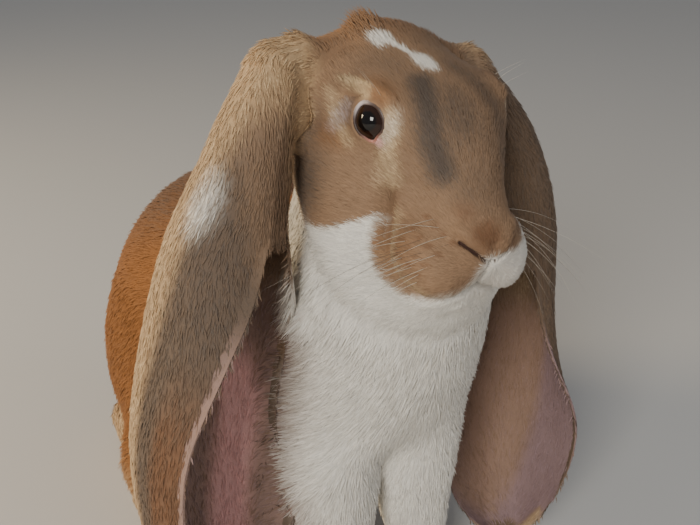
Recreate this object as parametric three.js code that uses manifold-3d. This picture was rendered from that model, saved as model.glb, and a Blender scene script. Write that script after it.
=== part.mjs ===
// A lop-eared rabbit sitting up on straight forelegs, life size, in millimetres.
// It faces -Y, with +X to its own left and +Z up, and its head leans a little to its left.
// One smooth field gives the flesh of head, neck, trunk, legs and tail; the field's surface is
// meshed whole and then parted with thin cuts. The ears are folded leaves, and the eyes are balls.
import * as THREE from "three";
import { mergeVertices } from "three/addons/utils/BufferGeometryUtils.js";
import Module from "manifold-3d";

const wasm = await Module();
wasm.setup();

// Driving dimensions
const GAP = 0.3; // left between neighbouring pieces
const MIDLINE = 8; // x of the trunk's middle, where the head's is HEAD_CENTRE's
const HEAD_CENTRE = [10, -88, 266];
const HEAD_PITCH = 21; // degrees, nose down
const HEAD_ROLL = 5.8; // degrees, crown to the rabbit's left
const EYE = { place: [4, 21], side: 28.2, radius: 9.6 };
const FORELEG = { centre: 4, side: 30, reach: -76, elbow: 112, wrist: 36 };
const HINDFOOT = { side: 58, heel: 150, toe: 14, height: 13 };
const SOLE = 1; // height at which the soles are cut to flats
const TAIL = { y: 205, z: 66 };
const EAR = {
  length: 72, // of one flap's side, from the fold to the rim, at its widest
  thickness: 5.6,
  rimThickness: 3.4,
  root: 40.5, // how far to the side of the head's middle the ear's own piece begins
  rows: 17,
  columns: 10,
};
// Each ear's hang: how wide it hangs at its bend and below, how far back its fold is, how far its
// bend drops, how far its opening turns from the front to the middle, and the shares of its
// length between which the roll opens
const EAR_HANG = {
  right: { spread: [1, 1], back: 34, drop: 0, turn: 36, opens: [0.2, 0.52] },
  left: { spread: [0.96, 0.8], back: 43, drop: 12, turn: 32, opens: [0.38, 0.8] },
};

// Grid lines of the field's mesh, as [from, to, step] stretches along each axis. The head and
// neck have a finer grid of their own.
const HEAD_GRID = {
  x: [[-80, 102, 8.9]],
  y: [[-168, 14, 8.9]],
  z: [[134, 333, 8.9]],
};
const BODY_GRID = {
  x: [[-127, -32, 19], [-32, 40, 14], [40, 143, 19]],
  y: [[-170, -120, 19], [-120, -60, 12], [-60, 250, 20.5]],
  z: [[-19, 38, 9.5], [38, 257, 18.2]],
};

const SIDES = [["right", -1], ["left", 1]];
const radians = THREE.MathUtils.degToRad;
const vec = (p) => new THREE.Vector3(...p);

// The head's own axes: forward, up and side (the rabbit's left), as a matrix from head to body
function headMatrix() {
  const pitch = new THREE.Matrix4().makeRotationX(radians(HEAD_PITCH));
  const roll = new THREE.Matrix4().makeRotationY(radians(HEAD_ROLL));
  return new THREE.Matrix4()
    .makeTranslation(...HEAD_CENTRE)
    .multiply(pitch)
    .multiply(roll);
}
const HEAD_TO_BODY = headMatrix();
const BODY_TO_HEAD = HEAD_TO_BODY.clone().invert();

// A point of the head, given as [forward, up, side], in the body's axes
const onHead = ([forward, up, side]) =>
  vec([side, -forward, up]).applyMatrix4(HEAD_TO_BODY);
const inHead = (x, y, z) => {
  const p = vec([x, y, z]).applyMatrix4(BODY_TO_HEAD);
  return [-p.y, p.z, p.x];
};

// Distance fields: each takes a point and gives a signed distance, negative inside
function ellipsoid(centre, radii) {
  const [cx, cy, cz] = centre;
  const [rx, ry, rz] = radii;
  return (x, y, z) => {
    const dx = (x - cx) / rx;
    const dy = (y - cy) / ry;
    const dz = (z - cz) / rz;
    const k = Math.hypot(dx, dy, dz);
    const slope = Math.hypot(dx / rx, dy / ry, dz / rz);
    return slope < 1e-9 ? -Math.min(rx, ry, rz) : (k * (k - 1)) / slope;
  };
}

// A limb that tapers from one ball to another
function limb(from, to, fromRadius, toRadius) {
  const a = vec(from);
  const axis = vec(to).sub(a);
  const lengthSq = axis.lengthSq();
  return (x, y, z) => {
    const px = x - a.x;
    const py = y - a.y;
    const pz = z - a.z;
    const along = (px * axis.x + py * axis.y + pz * axis.z) / lengthSq;
    const t = Math.min(1, Math.max(0, along));
    const away = Math.hypot(px - axis.x * t, py - axis.y * t, pz - axis.z * t);
    return away - (fromRadius + (toRadius - fromRadius) * t);
  };
}

// Union with a fillet, about as wide as blend
function smoothMin(a, b, blend) {
  const h = Math.max(blend - Math.abs(a - b), 0) / blend;
  return Math.min(a, b) - (h * h * blend) / 4;
}

// Volumes blended in turn: [field, blend] pairs
function blended(volumes) {
  return (x, y, z) => {
    let d = 1e3;
    for (const [field, blend] of volumes) d = smoothMin(d, field(x, y, z), blend);
    return d;
  };
}

// The head, in its own axes: forward, up, side
function headField() {
  const volumes = [
    [ellipsoid([-20, 6, 0], [43, 33, 38]), 10], // skull
    [ellipsoid([-38, 28, 0], [17, 12, 20]), 12], // crown
    [ellipsoid([0, 16, 0], [34, 24, 32]), 14], // forehead
    [limb([12, 11, 0], [45, -6, 0], 26, 19.5), 14], // bridge of the nose
    [ellipsoid([54, -8, 0], [12, 11, 15]), 10], // nose
    [ellipsoid([36, -31, 0], [17, 9, 12]), 8], // chin
    [limb([-16, -16, 0], [30, -18, 0], 26, 18), 14], // lower jaw
  ];
  for (const [, side] of SIDES) {
    volumes.push(
      [ellipsoid([-10, -12, side * 20], [33, 26, 25]), 14], // cheek
      [ellipsoid([1, 27, side * 25], [17, 10, 10]), 8], // brow over the eye
      [ellipsoid([44, -20, side * 13.5], [21.5, 18, 17.5]), 6], // whisker pad
      [limb([-33, 18, side * 18], [-38, 22, side * 52], 16.5, 11.5), 12], // root of the ear
    );
  }
  const field = blended(volumes);
  return (x, y, z) => field(...inHead(x, y, z));
}

// Everything behind the head, in the body's axes
function trunkField() {
  const x = MIDLINE;
  return blended([
    [ellipsoid([x + 3, -58, 161], [64, 57, 53]), 18], // chest
    [limb([x, -74, 232], [x, -30, 172], 44, 56), 26], // neck
    [ellipsoid([x, -84, 202], [52, 40, 44]), 22], // throat
    [ellipsoid([x - 2, -4, 160], [66, 72, 56]), 24], // withers
    [limb([x, 0, 134], [x - 2, 80, 126], 64, 74), 26], // ribs
    [ellipsoid([x, 80, 130], [75, 82, 86]), 26], // loin
    [ellipsoid([x, 124, 96], [71, 70, 80]), 26], // rump
  ]);
}

function foreleg(side) {
  const { centre, reach, elbow, wrist } = FORELEG;
  const x = centre + side * FORELEG.side;
  return [
    [limb([x, -50, 134], [x, reach + 4, elbow], 29, 26), 14], // upper arm
    [limb([x, reach + 4, elbow], [x, reach, wrist], 26, 17), 9], // forearm
    [ellipsoid([x, reach - 11, 14], [18, 27, 16]), 8], // paw
  ];
}

function hindleg(side) {
  const x = MIDLINE + side * HINDFOOT.side;
  const { heel, toe, height } = HINDFOOT;
  return [
    [ellipsoid([x - side * 9, 96, 72], [38, 64, 64]), 22], // thigh
    [ellipsoid([x + side * 13, 44, 48], [35, 38, 38]), 18], // knee
    [limb([x, heel, 17], [x + side * 14, toe + 30, height], 20, 17), 12], // hock
    [ellipsoid([x + side * 18, toe + 18, height], [20, 34, 14]), 9], // foot
  ];
}

function tailField() {
  return [[ellipsoid([MIDLINE, TAIL.y, TAIL.z], [20, 19, 33]), 10]];
}

// All the flesh
function fleshField() {
  return blended([
    [trunkField(), 1],
    [headField(), 20],
    ...SIDES.flatMap(([, side]) => [...foreleg(side), ...hindleg(side)]),
    ...tailField(),
  ]);
}

// The flesh as far as each grid reaches, less a margin, so that its surface closes there
function foreField(flesh) {
  const bottom = HEAD_GRID.z[0][0] + 12;
  const rear = HEAD_GRID.y[0][1] - 12;
  return (x, y, z) => Math.max(flesh(x, y, z), bottom - z, y - rear);
}
function bodyField(flesh) {
  const top = BODY_GRID.z[1][1] - 20;
  return (x, y, z) => Math.max(flesh(x, y, z), z - top);
}

// Values of a grid axis from its stretches
function gridLines(stretches) {
  const lines = [stretches[0][0]];
  for (const [from, to, step] of stretches) {
    const count = Math.round((to - from) / step);
    for (let i = 1; i <= count; i++) lines.push(from + ((to - from) * i) / count);
  }
  return lines;
}

// Moves a point onto the field's surface, by steps along the slope
function settle(field, p) {
  const e = 0.05;
  for (let step = 0; step < 3; step++) {
    const d = field(p.x, p.y, p.z);
    const slope = new THREE.Vector3(
      field(p.x + e, p.y, p.z) - field(p.x - e, p.y, p.z),
      field(p.x, p.y + e, p.z) - field(p.x, p.y - e, p.z),
      field(p.x, p.y, p.z + e) - field(p.x, p.y, p.z - e),
    ).divideScalar(2 * e);
    p.addScaledVector(slope, -d / Math.max(slope.lengthSq(), 0.2));
  }
}

// The corners of a grid cell, its twelve edges as pairs of corners, and its faces as rings
const CORNERS = [...Array(8).keys()].map((n) => [n & 1, (n >> 1) & 1, (n >> 2) & 1]);
const CELL_EDGES = CORNERS.flatMap((_, n) =>
  [1, 2, 4].filter((bit) => !(n & bit)).map((bit) => [n, n | bit]),
);
const CELL_FACES = [0, 1, 2].flatMap((axis) =>
  [0, 1].map((end) => {
    const [u, v] = [(axis + 1) % 3, (axis + 2) % 3];
    const ring = [[0, 0], [1, 0], [1, 1], [0, 1]];
    return ring.map(([du, dv]) => (end << axis) | (du << u) | (dv << v));
  }),
);
const edgeKey = (a, b) => Math.min(a, b) * 8 + Math.max(a, b);

// Tells which sheet of the surface crosses each edge of a cell, so that two sheets in one cell
// never share a vertex. On a face with two inside corners apart, the surface parts them.
function sheetLabels(inside) {
  const label = new Map(CELL_EDGES.map(([a, b]) => [edgeKey(a, b), edgeKey(a, b)]));
  const join = (one, other) => {
    const [kept, dropped] = [label.get(one), label.get(other)];
    for (const [key, sheet] of label) if (sheet === dropped) label.set(key, kept);
  };
  for (const face of CELL_FACES) {
    const sides = face.map((corner, n) => edgeKey(corner, face[(n + 1) % 4]));
    const crossed = sides.filter((_, n) => inside[face[n]] !== inside[face[(n + 1) % 4]]);
    if (crossed.length === 2) join(...crossed);
    if (crossed.length < 4) continue;
    face.forEach((corner, n) => {
      if (inside[corner]) join(sides[n], sides[(n + 3) % 4]);
    });
  }
  return (a, b) => label.get(edgeKey(a, b));
}

// The surface of a field as a closed mesh: one vertex for each sheet in each grid cell that the
// surface crosses, and one quad round each grid edge that it crosses
function surfaceOf(field, grid) {
  const axes = [grid.x, grid.y, grid.z].map(gridLines);
  const counts = axes.map((lines) => lines.length);
  const index = ([i, j, k]) => (i * counts[1] + j) * counts[2] + k;
  const at = ([i, j, k]) => [axes[0][i], axes[1][j], axes[2][k]];
  const value = new Float64Array(counts[0] * counts[1] * counts[2]);
  for (let i = 0; i < counts[0]; i++)
    for (let j = 0; j < counts[1]; j++)
      for (let k = 0; k < counts[2]; k++) value[index([i, j, k])] = field(...at([i, j, k]));

  const positions = [];
  const known = new Map();
  const plus = (p, q) => p.map((n, axis) => n + q[axis]);
  // The vertex, in a cell, of the sheet that crosses the edge between two grid points
  function vertexOf(cell, from, to) {
    const inside = CORNERS.map((c) => value[index(plus(cell, c))] < 0);
    const sheetOf = sheetLabels(inside);
    const cornerAt = (p) => p.reduce((sum, n, axis) => sum + ((n - cell[axis]) << axis), 0);
    const sheet = sheetOf(cornerAt(from), cornerAt(to));
    const key = index(cell) * 64 + sheet;
    if (known.has(key)) return known.get(key);
    const mean = new THREE.Vector3();
    let crossings = 0;
    for (const [a, b] of CELL_EDGES) {
      if (inside[a] === inside[b] || sheetOf(a, b) !== sheet) continue;
      const [pa, pb] = [plus(cell, CORNERS[a]), plus(cell, CORNERS[b])];
      const t = value[index(pa)] / (value[index(pa)] - value[index(pb)]);
      mean.add(vec(at(pa)).lerp(vec(at(pb)), t));
      crossings++;
    }
    mean.divideScalar(crossings);
    settle(field, mean);
    known.set(key, positions.length);
    positions.push(mean);
    return known.get(key);
  }

  const triangles = [];
  for (let i = 1; i < counts[0] - 1; i++)
    for (let j = 1; j < counts[1] - 1; j++)
      for (let k = 1; k < counts[2] - 1; k++)
        for (const axis of [0, 1, 2]) {
          const from = [i, j, k];
          const step = [0, 1, 2].map((n) => (n === axis ? 1 : 0));
          const to = plus(from, step);
          const solidFirst = value[index(from)] < 0;
          if (solidFirst === value[index(to)] < 0) continue;
          const [u, v] = [(axis + 1) % 3, (axis + 2) % 3];
          const ring = [[1, 1], [0, 1], [0, 0], [1, 0]].map(([du, dv]) => {
            const cell = [...from];
            cell[u] -= du;
            cell[v] -= dv;
            return vertexOf(cell, from, to);
          });
          if (!solidFirst) ring.reverse();
          const [a, b, c, d] = ring;
          const gap = (p, q) => positions[p].distanceTo(positions[q]);
          if (gap(a, c) < gap(b, d)) triangles.push(a, b, c, a, c, d);
          else triangles.push(b, c, d, b, d, a);
        }
  return new wasm.Manifold(
    new wasm.Mesh({
      numProp: 3,
      vertProperties: new Float32Array(positions.flatMap((p) => p.toArray())),
      triVerts: new Uint32Array(triangles),
    }),
  );
}

// A three.js geometry as a solid that can be cut
function solidOf(geometry) {
  const bare = geometry.clone();
  bare.deleteAttribute("normal");
  bare.deleteAttribute("uv");
  const merged = mergeVertices(bare, 1e-4);
  return new wasm.Manifold(
    new wasm.Mesh({
      numProp: 3,
      vertProperties: new Float32Array(merged.attributes.position.array),
      triVerts: new Uint32Array(merged.index.array),
    }),
  );
}

// A cut solid back as a three.js geometry
function geometryOf(solid) {
  const mesh = solid.getMesh();
  const geometry = new THREE.BufferGeometry();
  geometry.setAttribute(
    "position",
    new THREE.BufferAttribute(new Float32Array(mesh.vertProperties), 3),
  );
  geometry.setIndex(new THREE.BufferAttribute(new Uint32Array(mesh.triVerts), 1));
  geometry.computeVertexNormals();
  return geometry;
}

// The line that an ear's fold follows, from its root to the tip
function earPath(name, side) {
  const { spread, back, drop } = EAR_HANG[name];
  const [hx, hy, hz] = HEAD_CENTRE;
  const hang = (outward, behind, height) => {
    const low = THREE.MathUtils.smoothstep(-height, 0, 120);
    const wide = THREE.MathUtils.lerp(...spread, low);
    return new THREE.Vector3(hx + side * wide * outward, hy + back + behind, hz + height);
  };
  return new THREE.CatmullRomCurve3(
    [
      onHead([-46, 25, side * 37]),
      onHead([-47, 19 - drop / 2, side * (55 - drop / 2)]),
      hang(75, -6, 14 - drop),
      hang(88, -3, -6 - drop),
      hang(108, 0, -56),
      hang(122, 0, -120),
      hang(119, -6, -170),
      hang(110, -22, -220),
      hang(100, -42, -256),
    ],
    false,
    "centripetal",
  );
}

// The length of one flap's side, from the fold to the rim, at a share t of the ear's length
function flapLength(t) {
  const swell = 0.36 + 0.64 * THREE.MathUtils.smoothstep(t, -0.1, 0.42);
  const tip = Math.sqrt(Math.max(0, 1 - Math.max(0, (t - 0.62) / 0.38) ** 2.1));
  return EAR.length * swell * Math.max(tip, 0.08);
}

// The middle line of one flap from the fold to the rim: how far out, how far forward, and the
// angle that it has bent round to. Shut is 1 where the two rims meet and 0 where the ear is open.
function flapLine(length, shut) {
  const count = EAR.columns / 2;
  const turn = radians(76 + 94 * shut);
  const power = 0.5 + 0.5 * shut;
  const line = [];
  let out = 0;
  let forward = 0;
  for (let j = 0; j <= count; j++) {
    line.push({ out, forward, angle: turn * (j / count) ** power });
    const middle = turn * ((j + 0.5) / count) ** power;
    out += (Math.cos(middle) * length) / count;
    forward += (Math.sin(middle) * length) / count;
  }
  return line;
}

// One ear: a leaf folded along its length, rolled shut near the head and open to the front below.
// grow makes its faces and rims stand that much further out.
function earSolid(name, side, grow = 0) {
  const path = earPath(name, side);
  const { rows, columns } = EAR;
  const turn = radians(EAR_HANG[name].turn);
  const openTo = new THREE.Vector3(-side * Math.sin(turn), -Math.cos(turn), 0);
  const positions = [];
  for (let i = 0; i <= rows; i++) {
    const t = i / rows;
    const centre = path.getPointAt(t);
    const tangent = path.getTangentAt(t);
    const opening = openTo.clone().addScaledVector(tangent, -openTo.dot(tangent)).normalize();
    const across = new THREE.Vector3().crossVectors(tangent, opening).multiplyScalar(side);
    const shut = 1 - THREE.MathUtils.smoothstep(t, ...EAR_HANG[name].opens);
    const line = flapLine(flapLength(t), shut);
    for (const face of [1, -1])
      for (let j = 0; j <= columns; j++) {
        const v = j - columns / 2;
        const share = Math.abs(v) / (columns / 2);
        const { out, forward, angle } = line[Math.abs(v)];
        const sign = Math.sign(v);
        const full = EAR.thickness + (EAR.rimThickness - EAR.thickness) * share;
        const rim = share === 1 ? grow : 0;
        const half = face * (share === 1 ? grow : full / 2 + grow);
        const outward = out + Math.sin(angle) * half + Math.cos(angle) * rim;
        const ahead = forward - Math.cos(angle) * half + Math.sin(angle) * rim;
        const p = centre
          .clone()
          .addScaledVector(across, sign * outward)
          .addScaledVector(opening, ahead);
        positions.push(p.x, p.y, p.z);
      }
  }
  return closedLeaf(positions, rows, columns);
}

// Joins an outer and an inner sheet, row by row, into one closed solid
function closedLeaf(positions, rows, columns) {
  const perRow = 2 * (columns + 1);
  const ring = []; // round one row: along the outer sheet, and back along the inner one
  for (let j = 0; j <= columns; j++) ring.push(j);
  for (let j = columns; j >= 0; j--) ring.push(columns + 1 + j);
  const triangles = [];
  for (let i = 0; i < rows; i++)
    for (let n = 0; n < perRow; n++) {
      const a = i * perRow + ring[n];
      const b = i * perRow + ring[(n + 1) % perRow];
      triangles.push(a, b, b + perRow, a, b + perRow, a + perRow);
    }
  for (const [row, flip] of [[0, true], [rows, false]])
    for (let j = 0; j < columns; j++) {
      const a = row * perRow + j;
      const b = row * perRow + columns + 1 + j;
      const pair = [a, a + 1, b + 1, a, b + 1, b];
      triangles.push(...(flip ? pair.reverse() : pair));
    }
  const geometry = new THREE.BufferGeometry();
  geometry.setAttribute("position", new THREE.BufferAttribute(new Float32Array(positions), 3));
  geometry.setIndex(triangles);
  let solid = solidOf(geometry);
  if (solid.volume() < 0) {
    geometry.setIndex(triangles.reverse());
    solid = solidOf(geometry);
  }
  return solid;
}

// A box as a solid, from its middle and its size along each axis
function blockSolid(middle, size) {
  const geometry = new THREE.BoxGeometry(...size);
  geometry.translate(...middle);
  return solidOf(geometry);
}

// The same in the head's axes, with middle and size as [forward, up, side]
function headBlock([forward, up, side], [length, height, width], turn = 0) {
  const geometry = new THREE.BoxGeometry(width, length, height);
  geometry.rotateX(radians(turn));
  geometry.translate(side, -forward, up);
  geometry.applyMatrix4(HEAD_TO_BODY);
  return solidOf(geometry);
}

function ballSolid(middle, radii, segments = 12) {
  const geometry = new THREE.SphereGeometry(1, segments, segments / 2);
  geometry.scale(...radii);
  geometry.translate(...middle);
  return solidOf(geometry);
}

// Parts a solid in two with the gap between them: what lies in a region, and the rest.
// region gives the same region grown all over by its argument.
function part(solid, region) {
  return [solid.intersect(region(0)), solid.subtract(region(GAP))];
}

const grownBlock = (middle, size) => (grow) =>
  blockSolid(middle, size.map((n) => n + 2 * grow));
const grownHeadBlock = (middle, size, turn) => (grow) =>
  headBlock(middle, size.map((n) => n + 2 * grow), turn);
const grownBall = (middle, radii) => (grow) =>
  ballSolid(middle, radii.map((n) => n + grow));

function buildPieces() {
  const pieces = {};
  const flesh = fleshField();
  const headRegion = grownHeadBlock([21, 68, 0], [260, 200, 150], 20);
  const neckRegion = grownHeadBlock([8, 28, 0], [260, 200, 240], 6);
  let rest = surfaceOf(foreField(flesh), HEAD_GRID);
  [pieces.head, rest] = part(rest, headRegion);
  pieces.neck = rest.intersect(neckRegion(0));
  const ground = blockSolid([0, 0, SOLE - 50], [800, 800, 100]);
  rest = surfaceOf(bodyField(flesh), BODY_GRID).subtract(neckRegion(GAP)).subtract(ground);

  const take = (name, region) => {
    [pieces[name], rest] = part(rest, region);
  };
  take("tail", grownBlock([MIDLINE, 243, 66], [100, 100, 140]));
  for (const [name, side] of SIDES) {
    const front = FORELEG.centre + side * (40 + GAP / 2);
    take("forepaw_" + name, grownBlock([front, -80, 8], [80, 120, 30]));
    take("foreleg_" + name, grownBlock([front, -80, 60], [80, 120, 76]));
    const hind = MIDLINE + side * HINDFOOT.side;
    take("hindfoot_" + name, grownBlock([hind + side * 20, 80, 7], [90, 210, 42]));
    take("hindleg_" + name, grownBall([hind + side * 12, 80, 70], [56, 102, 84]));
  }
  pieces.trunk = rest;

  for (const [name, side] of SIDES) {
    const [forward, up] = EYE.place;
    const middle = onHead([forward, up, side * EYE.side]).toArray();
    const ball = (grow) => ballSolid(middle, Array(3).fill(EYE.radius + grow), 14);
    pieces["eye_" + name] = ball(0);
    pieces.head = pieces.head.subtract(ball(GAP));

    // The ear's base is cut from the head, and where the leaf presses on the coat it has room
    const rootMiddle = [-41, 31, side * (EAR.root + 30)];
    const rootRegion = grownHeadBlock(rootMiddle, [52, 54, 60]);
    const [root, head] = part(pieces.head, rootRegion);
    pieces.head = head;
    const outward = headBlock([0, 0, side * (EAR.root + 200)], [800, 800, 400]);
    const clearance = earSolid(name, side, GAP).intersect(outward);
    for (const touched of ["head", "neck", "trunk", "foreleg_" + name])
      pieces[touched] = pieces[touched].subtract(clearance);
    pieces["ear_" + name] = earSolid(name, side).intersect(outward).add(root);
  }
  return pieces;
}

// Finishes of the coat and the eyes: colour, roughness and metalness
const FINISHES = {
  fawn: { color: 0xb58a5e, roughness: 0.85, metalness: 0 },
  orange: { color: 0xa8713f, roughness: 0.85, metalness: 0 },
  white: { color: 0xe6e0d4, roughness: 0.85, metalness: 0 },
  grey: { color: 0x8c7d70, roughness: 0.85, metalness: 0 },
  eye: { color: 0x1c0f0a, roughness: 0.05, metalness: 0 },
};
const FINISH_OF = {
  head: "fawn",
  neck: "white",
  trunk: "orange",
  tail: "orange",
  foreleg: "white",
  forepaw: "white",
  hindleg: "orange",
  hindfoot: "white",
  ear: "grey",
  eye: "eye",
};

const rabbit = new THREE.Group();
rabbit.name = "lop_rabbit";
for (const [name, solid] of Object.entries(buildPieces())) {
  const finish = FINISHES[FINISH_OF[name.split("_")[0]]];
  const mesh = new THREE.Mesh(geometryOf(solid), new THREE.MeshStandardMaterial(finish));
  mesh.name = name;
  rabbit.add(mesh);
}

// The origin lies on the floor, under the middle of the whole
const bounds = new THREE.Box3().setFromObject(rabbit);
const middle = bounds.getCenter(new THREE.Vector3());
rabbit.children.forEach((mesh) => mesh.geometry.translate(-middle.x, -middle.y, -bounds.min.z));

export default rabbit;
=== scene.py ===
"""A lop rabbit sitting up on straight forelegs: its skin, coat, eyes, whiskers and claws."""
import logging
import math
from dataclasses import dataclass, field
from enum import Enum
from functools import cached_property, partial
from typing import Callable, Iterable, Sequence

import bmesh
import bpy
import numpy as np
from bmesh.types import BMesh
from bpy.types import ID, Material, Mesh, Node, NodeSocket, NodeTree, Object, bpy_prop_collection
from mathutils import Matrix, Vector
from mathutils.bvhtree import BVHTree
from mathutils.kdtree import KDTree


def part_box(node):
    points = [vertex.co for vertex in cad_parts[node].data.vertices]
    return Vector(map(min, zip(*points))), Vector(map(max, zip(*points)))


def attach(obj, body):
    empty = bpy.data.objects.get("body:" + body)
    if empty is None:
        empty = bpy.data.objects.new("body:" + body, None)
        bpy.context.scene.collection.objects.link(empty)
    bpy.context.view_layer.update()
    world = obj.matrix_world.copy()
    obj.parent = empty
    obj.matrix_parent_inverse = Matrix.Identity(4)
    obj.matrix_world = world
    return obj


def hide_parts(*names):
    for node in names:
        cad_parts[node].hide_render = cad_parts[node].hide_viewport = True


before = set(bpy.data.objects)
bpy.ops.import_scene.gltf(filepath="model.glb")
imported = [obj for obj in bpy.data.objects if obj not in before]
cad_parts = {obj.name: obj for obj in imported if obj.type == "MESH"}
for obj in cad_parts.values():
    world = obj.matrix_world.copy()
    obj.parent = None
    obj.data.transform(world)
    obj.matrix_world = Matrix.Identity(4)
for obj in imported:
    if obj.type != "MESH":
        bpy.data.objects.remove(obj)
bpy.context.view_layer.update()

log = logging.getLogger("lop_rabbit")
Array = np.ndarray
Path = Sequence[Sequence[float]]
Colour = tuple[float, float, float]
MM = 0.001
BODY = "root"
SIDES = (("right", -1), ("left", 1))
UP = np.array([0.0, 0.0, 1.0])


class Slot(Enum):
    """The record's material slots."""

    FAWN = "coat_fawn"
    ORANGE = "coat_orange"
    WHITE = "coat_white"
    GREY = "coat_grey"
    EYE = "eye"
    CLAW = "claw"


class Mark(Enum):
    """The coat's markings, each a mask from 0 to 1 on skin and tufts, in painting order; some also carry
    painted shade and painted highlights.
    """

    ORANGE = "mark_orange"
    GREY = "mark_grey"
    CREAM = "mark_cream"
    WHITE = "mark_white"
    BROWN = "mark_brown"
    PINK = "mark_pink"
    MAUVE = "mark_mauve"
    # painted shade in the grooves of the nostrils and the mouth
    DARK = "mark_dark"


class Region(Enum):
    """The parts of the body that the coat's lie and length go by."""

    HEAD = ("head",)
    NECK = ("neck",)
    TRUNK = ("trunk",)
    TAIL = ("tail",)
    FORELEG = ("foreleg_right", "foreleg_left")
    FOREPAW = ("forepaw_right", "forepaw_left")
    HINDLEG = ("hindleg_right", "hindleg_left")
    HINDFOOT = ("hindfoot_right", "hindfoot_left")
    EAR_RIGHT = ("ear_right",)
    EAR_LEFT = ("ear_left",)


REGIONS = tuple(Region)
FLESH = tuple(node for region in REGIONS for node in region.value)


def ramp(low: float, high: float, x: Array) -> Array:
    """A smooth step of x from 0 at low to 1 at high, where low may lie above high."""
    t = np.clip((x - low) / (high - low), 0, 1)
    return t * t * (3 - 2 * t)


def unit(v: Array) -> Array:
    """Vectors scaled to length one."""
    return v / np.maximum(np.linalg.norm(v, axis=-1, keepdims=True), 1e-9)


def dot(a: Array, b: Array) -> Array:
    """The dot product of each row of a and b, kept as a column."""
    return (a * b).sum(-1, keepdims=True)


def patch(points: Array, centre: Sequence[float], radii: Sequence[float], edge: float = 0.25) -> Array:
    """A patch of marking: an ellipsoid whose soft edge is a share of its radii."""
    reach = np.sqrt((((points - centre) / radii) ** 2).sum(-1))
    return ramp(1 + edge, 1 - edge, reach)


def distance_to(points: Array, path: Path) -> Array:
    """How far each point is from a path of straight stretches.

    Args:
        points: one point a row.
        path: the path's corners in order.

    Returns:
        The distance for each point.
    """
    nearest = np.full(len(points), np.inf)
    for start, end in zip(path, path[1:]):
        start = np.array(start, float)
        way = np.array(end, float) - start
        along = np.clip((points - start) @ way / max(way @ way, 1e-9), 0, 1)
        away = np.linalg.norm(points - start - along[:, None] * way, axis=1)
        nearest = np.minimum(nearest, away)
    return nearest


def streak(points: Array, path: Path, width: float, edge: float = 0.4) -> Array:
    """A stripe of marking along a path; its width is half the whole, and its soft edge a share of that."""
    return ramp(1 + edge, 1 - edge, distance_to(points, path) / width)


@dataclass(frozen=True)
class HeadFrame:
    """The head's own axes: forward, up and side (its left), in millimetres from its middle."""

    pitch: float = 21.0
    roll: float = 5.8
    eye_forward: float = 4.0
    eye_up: float = 21.0

    @cached_property
    def turn(self) -> Array:
        """The rotation from the head's axes (side, back, up) to the body's.

        Returns:
            The rotation as a matrix.
        """
        a, b = math.radians(self.pitch), math.radians(self.roll)
        nod = np.array([[1, 0, 0], [0, math.cos(a), -math.sin(a)], [0, math.sin(a), math.cos(a)]])
        lean = np.array([[math.cos(b), 0, math.sin(b)], [0, 1, 0], [-math.sin(b), 0, math.cos(b)]])
        return nod @ lean

    @cached_property
    def middle(self) -> Array:
        """The head's middle, found from its two eyes.

        Returns:
            The middle in millimetres.
        """
        eyes = [np.mean([np.array(c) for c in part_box("eye_" + name)], axis=0) for name, _ in SIDES]
        between = np.mean(eyes, axis=0) / MM
        return between - self.turn @ np.array([0, -self.eye_forward, self.eye_up])

    def place(self, forward: float, up: float, side: float) -> Array:
        """A point of the head in the body's axes, in millimetres."""
        return self.middle + self.turn @ np.array([side, -forward, up])

    def direction(self, forward: float, up: float, side: float) -> Array:
        """A direction of the head in the body's axes."""
        return unit(self.turn @ np.array([side, -forward, up]))

    def inside(self, points: Array) -> Array:
        """Points of the body, in millimetres, in the head's axes: forward, up and side."""
        local = (points - self.middle) @ self.turn
        return np.stack([-local[:, 1], local[:, 2], local[:, 0]], axis=1)


HEAD = HeadFrame()


# Meshes as arrays ---------------------------------------------------------------------------


def values_of(items: bpy_prop_collection, key: str, width: int, kind: type = np.float32) -> Array:
    """One kind of value of all of a mesh's items.

    Args:
        items: the items, such as the mesh's vertices.
        key: the value's name.
        width: how many numbers each item's value has.
        kind: the numbers' kind.

    Returns:
        One item a row.
    """
    values = np.empty(len(items) * width, kind)
    items.foreach_get(key, values)
    return values.reshape(-1, width)


def points_of(mesh: Mesh) -> Array:
    """A mesh's vertices in millimetres, one a row."""
    return values_of(mesh.vertices, "co", 3).astype(float) / MM


def put_points(mesh: Mesh, points: Array) -> None:
    """Moves a mesh's vertices to points in millimetres."""
    mesh.vertices.foreach_set("co", (points * MM).astype(np.float32).ravel())
    mesh.update()


def edges_of(mesh: Mesh) -> Array:
    """A mesh's edges as pairs of vertices, one a row."""
    return values_of(mesh.edges, "vertices", 2, np.int32)


def normals_of(mesh: Mesh) -> Array:
    """A mesh's vertex normals, one a row."""
    return values_of(mesh.vertex_normals, "vector", 3).astype(float)


def relax(values: Array, edges: Array, rounds: Array, pull: float = 0.5) -> Array:
    """Averages values over a mesh's neighbours.

    Args:
        values: one row for each vertex, such as places or weights.
        edges: the mesh's edges.
        rounds: how many rounds each vertex takes part in.
        pull: the share of the way to the neighbours' mean in a round.

    Returns:
        The relaxed values.
    """
    a, b = edges.T
    count = len(values)
    degree = np.maximum(np.bincount(edges.ravel(), minlength=count), 1)[:, None]
    values = values.copy()
    for turn in range(int(np.ceil(rounds.max()))):
        near = np.stack([
            np.bincount(a, column[b], count) + np.bincount(b, column[a], count)
            for column in values.T
        ], axis=1)
        share = pull * np.clip(rounds - turn, 0, 1)[:, None]
        values += (near / degree - values) * share
    return values


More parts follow.
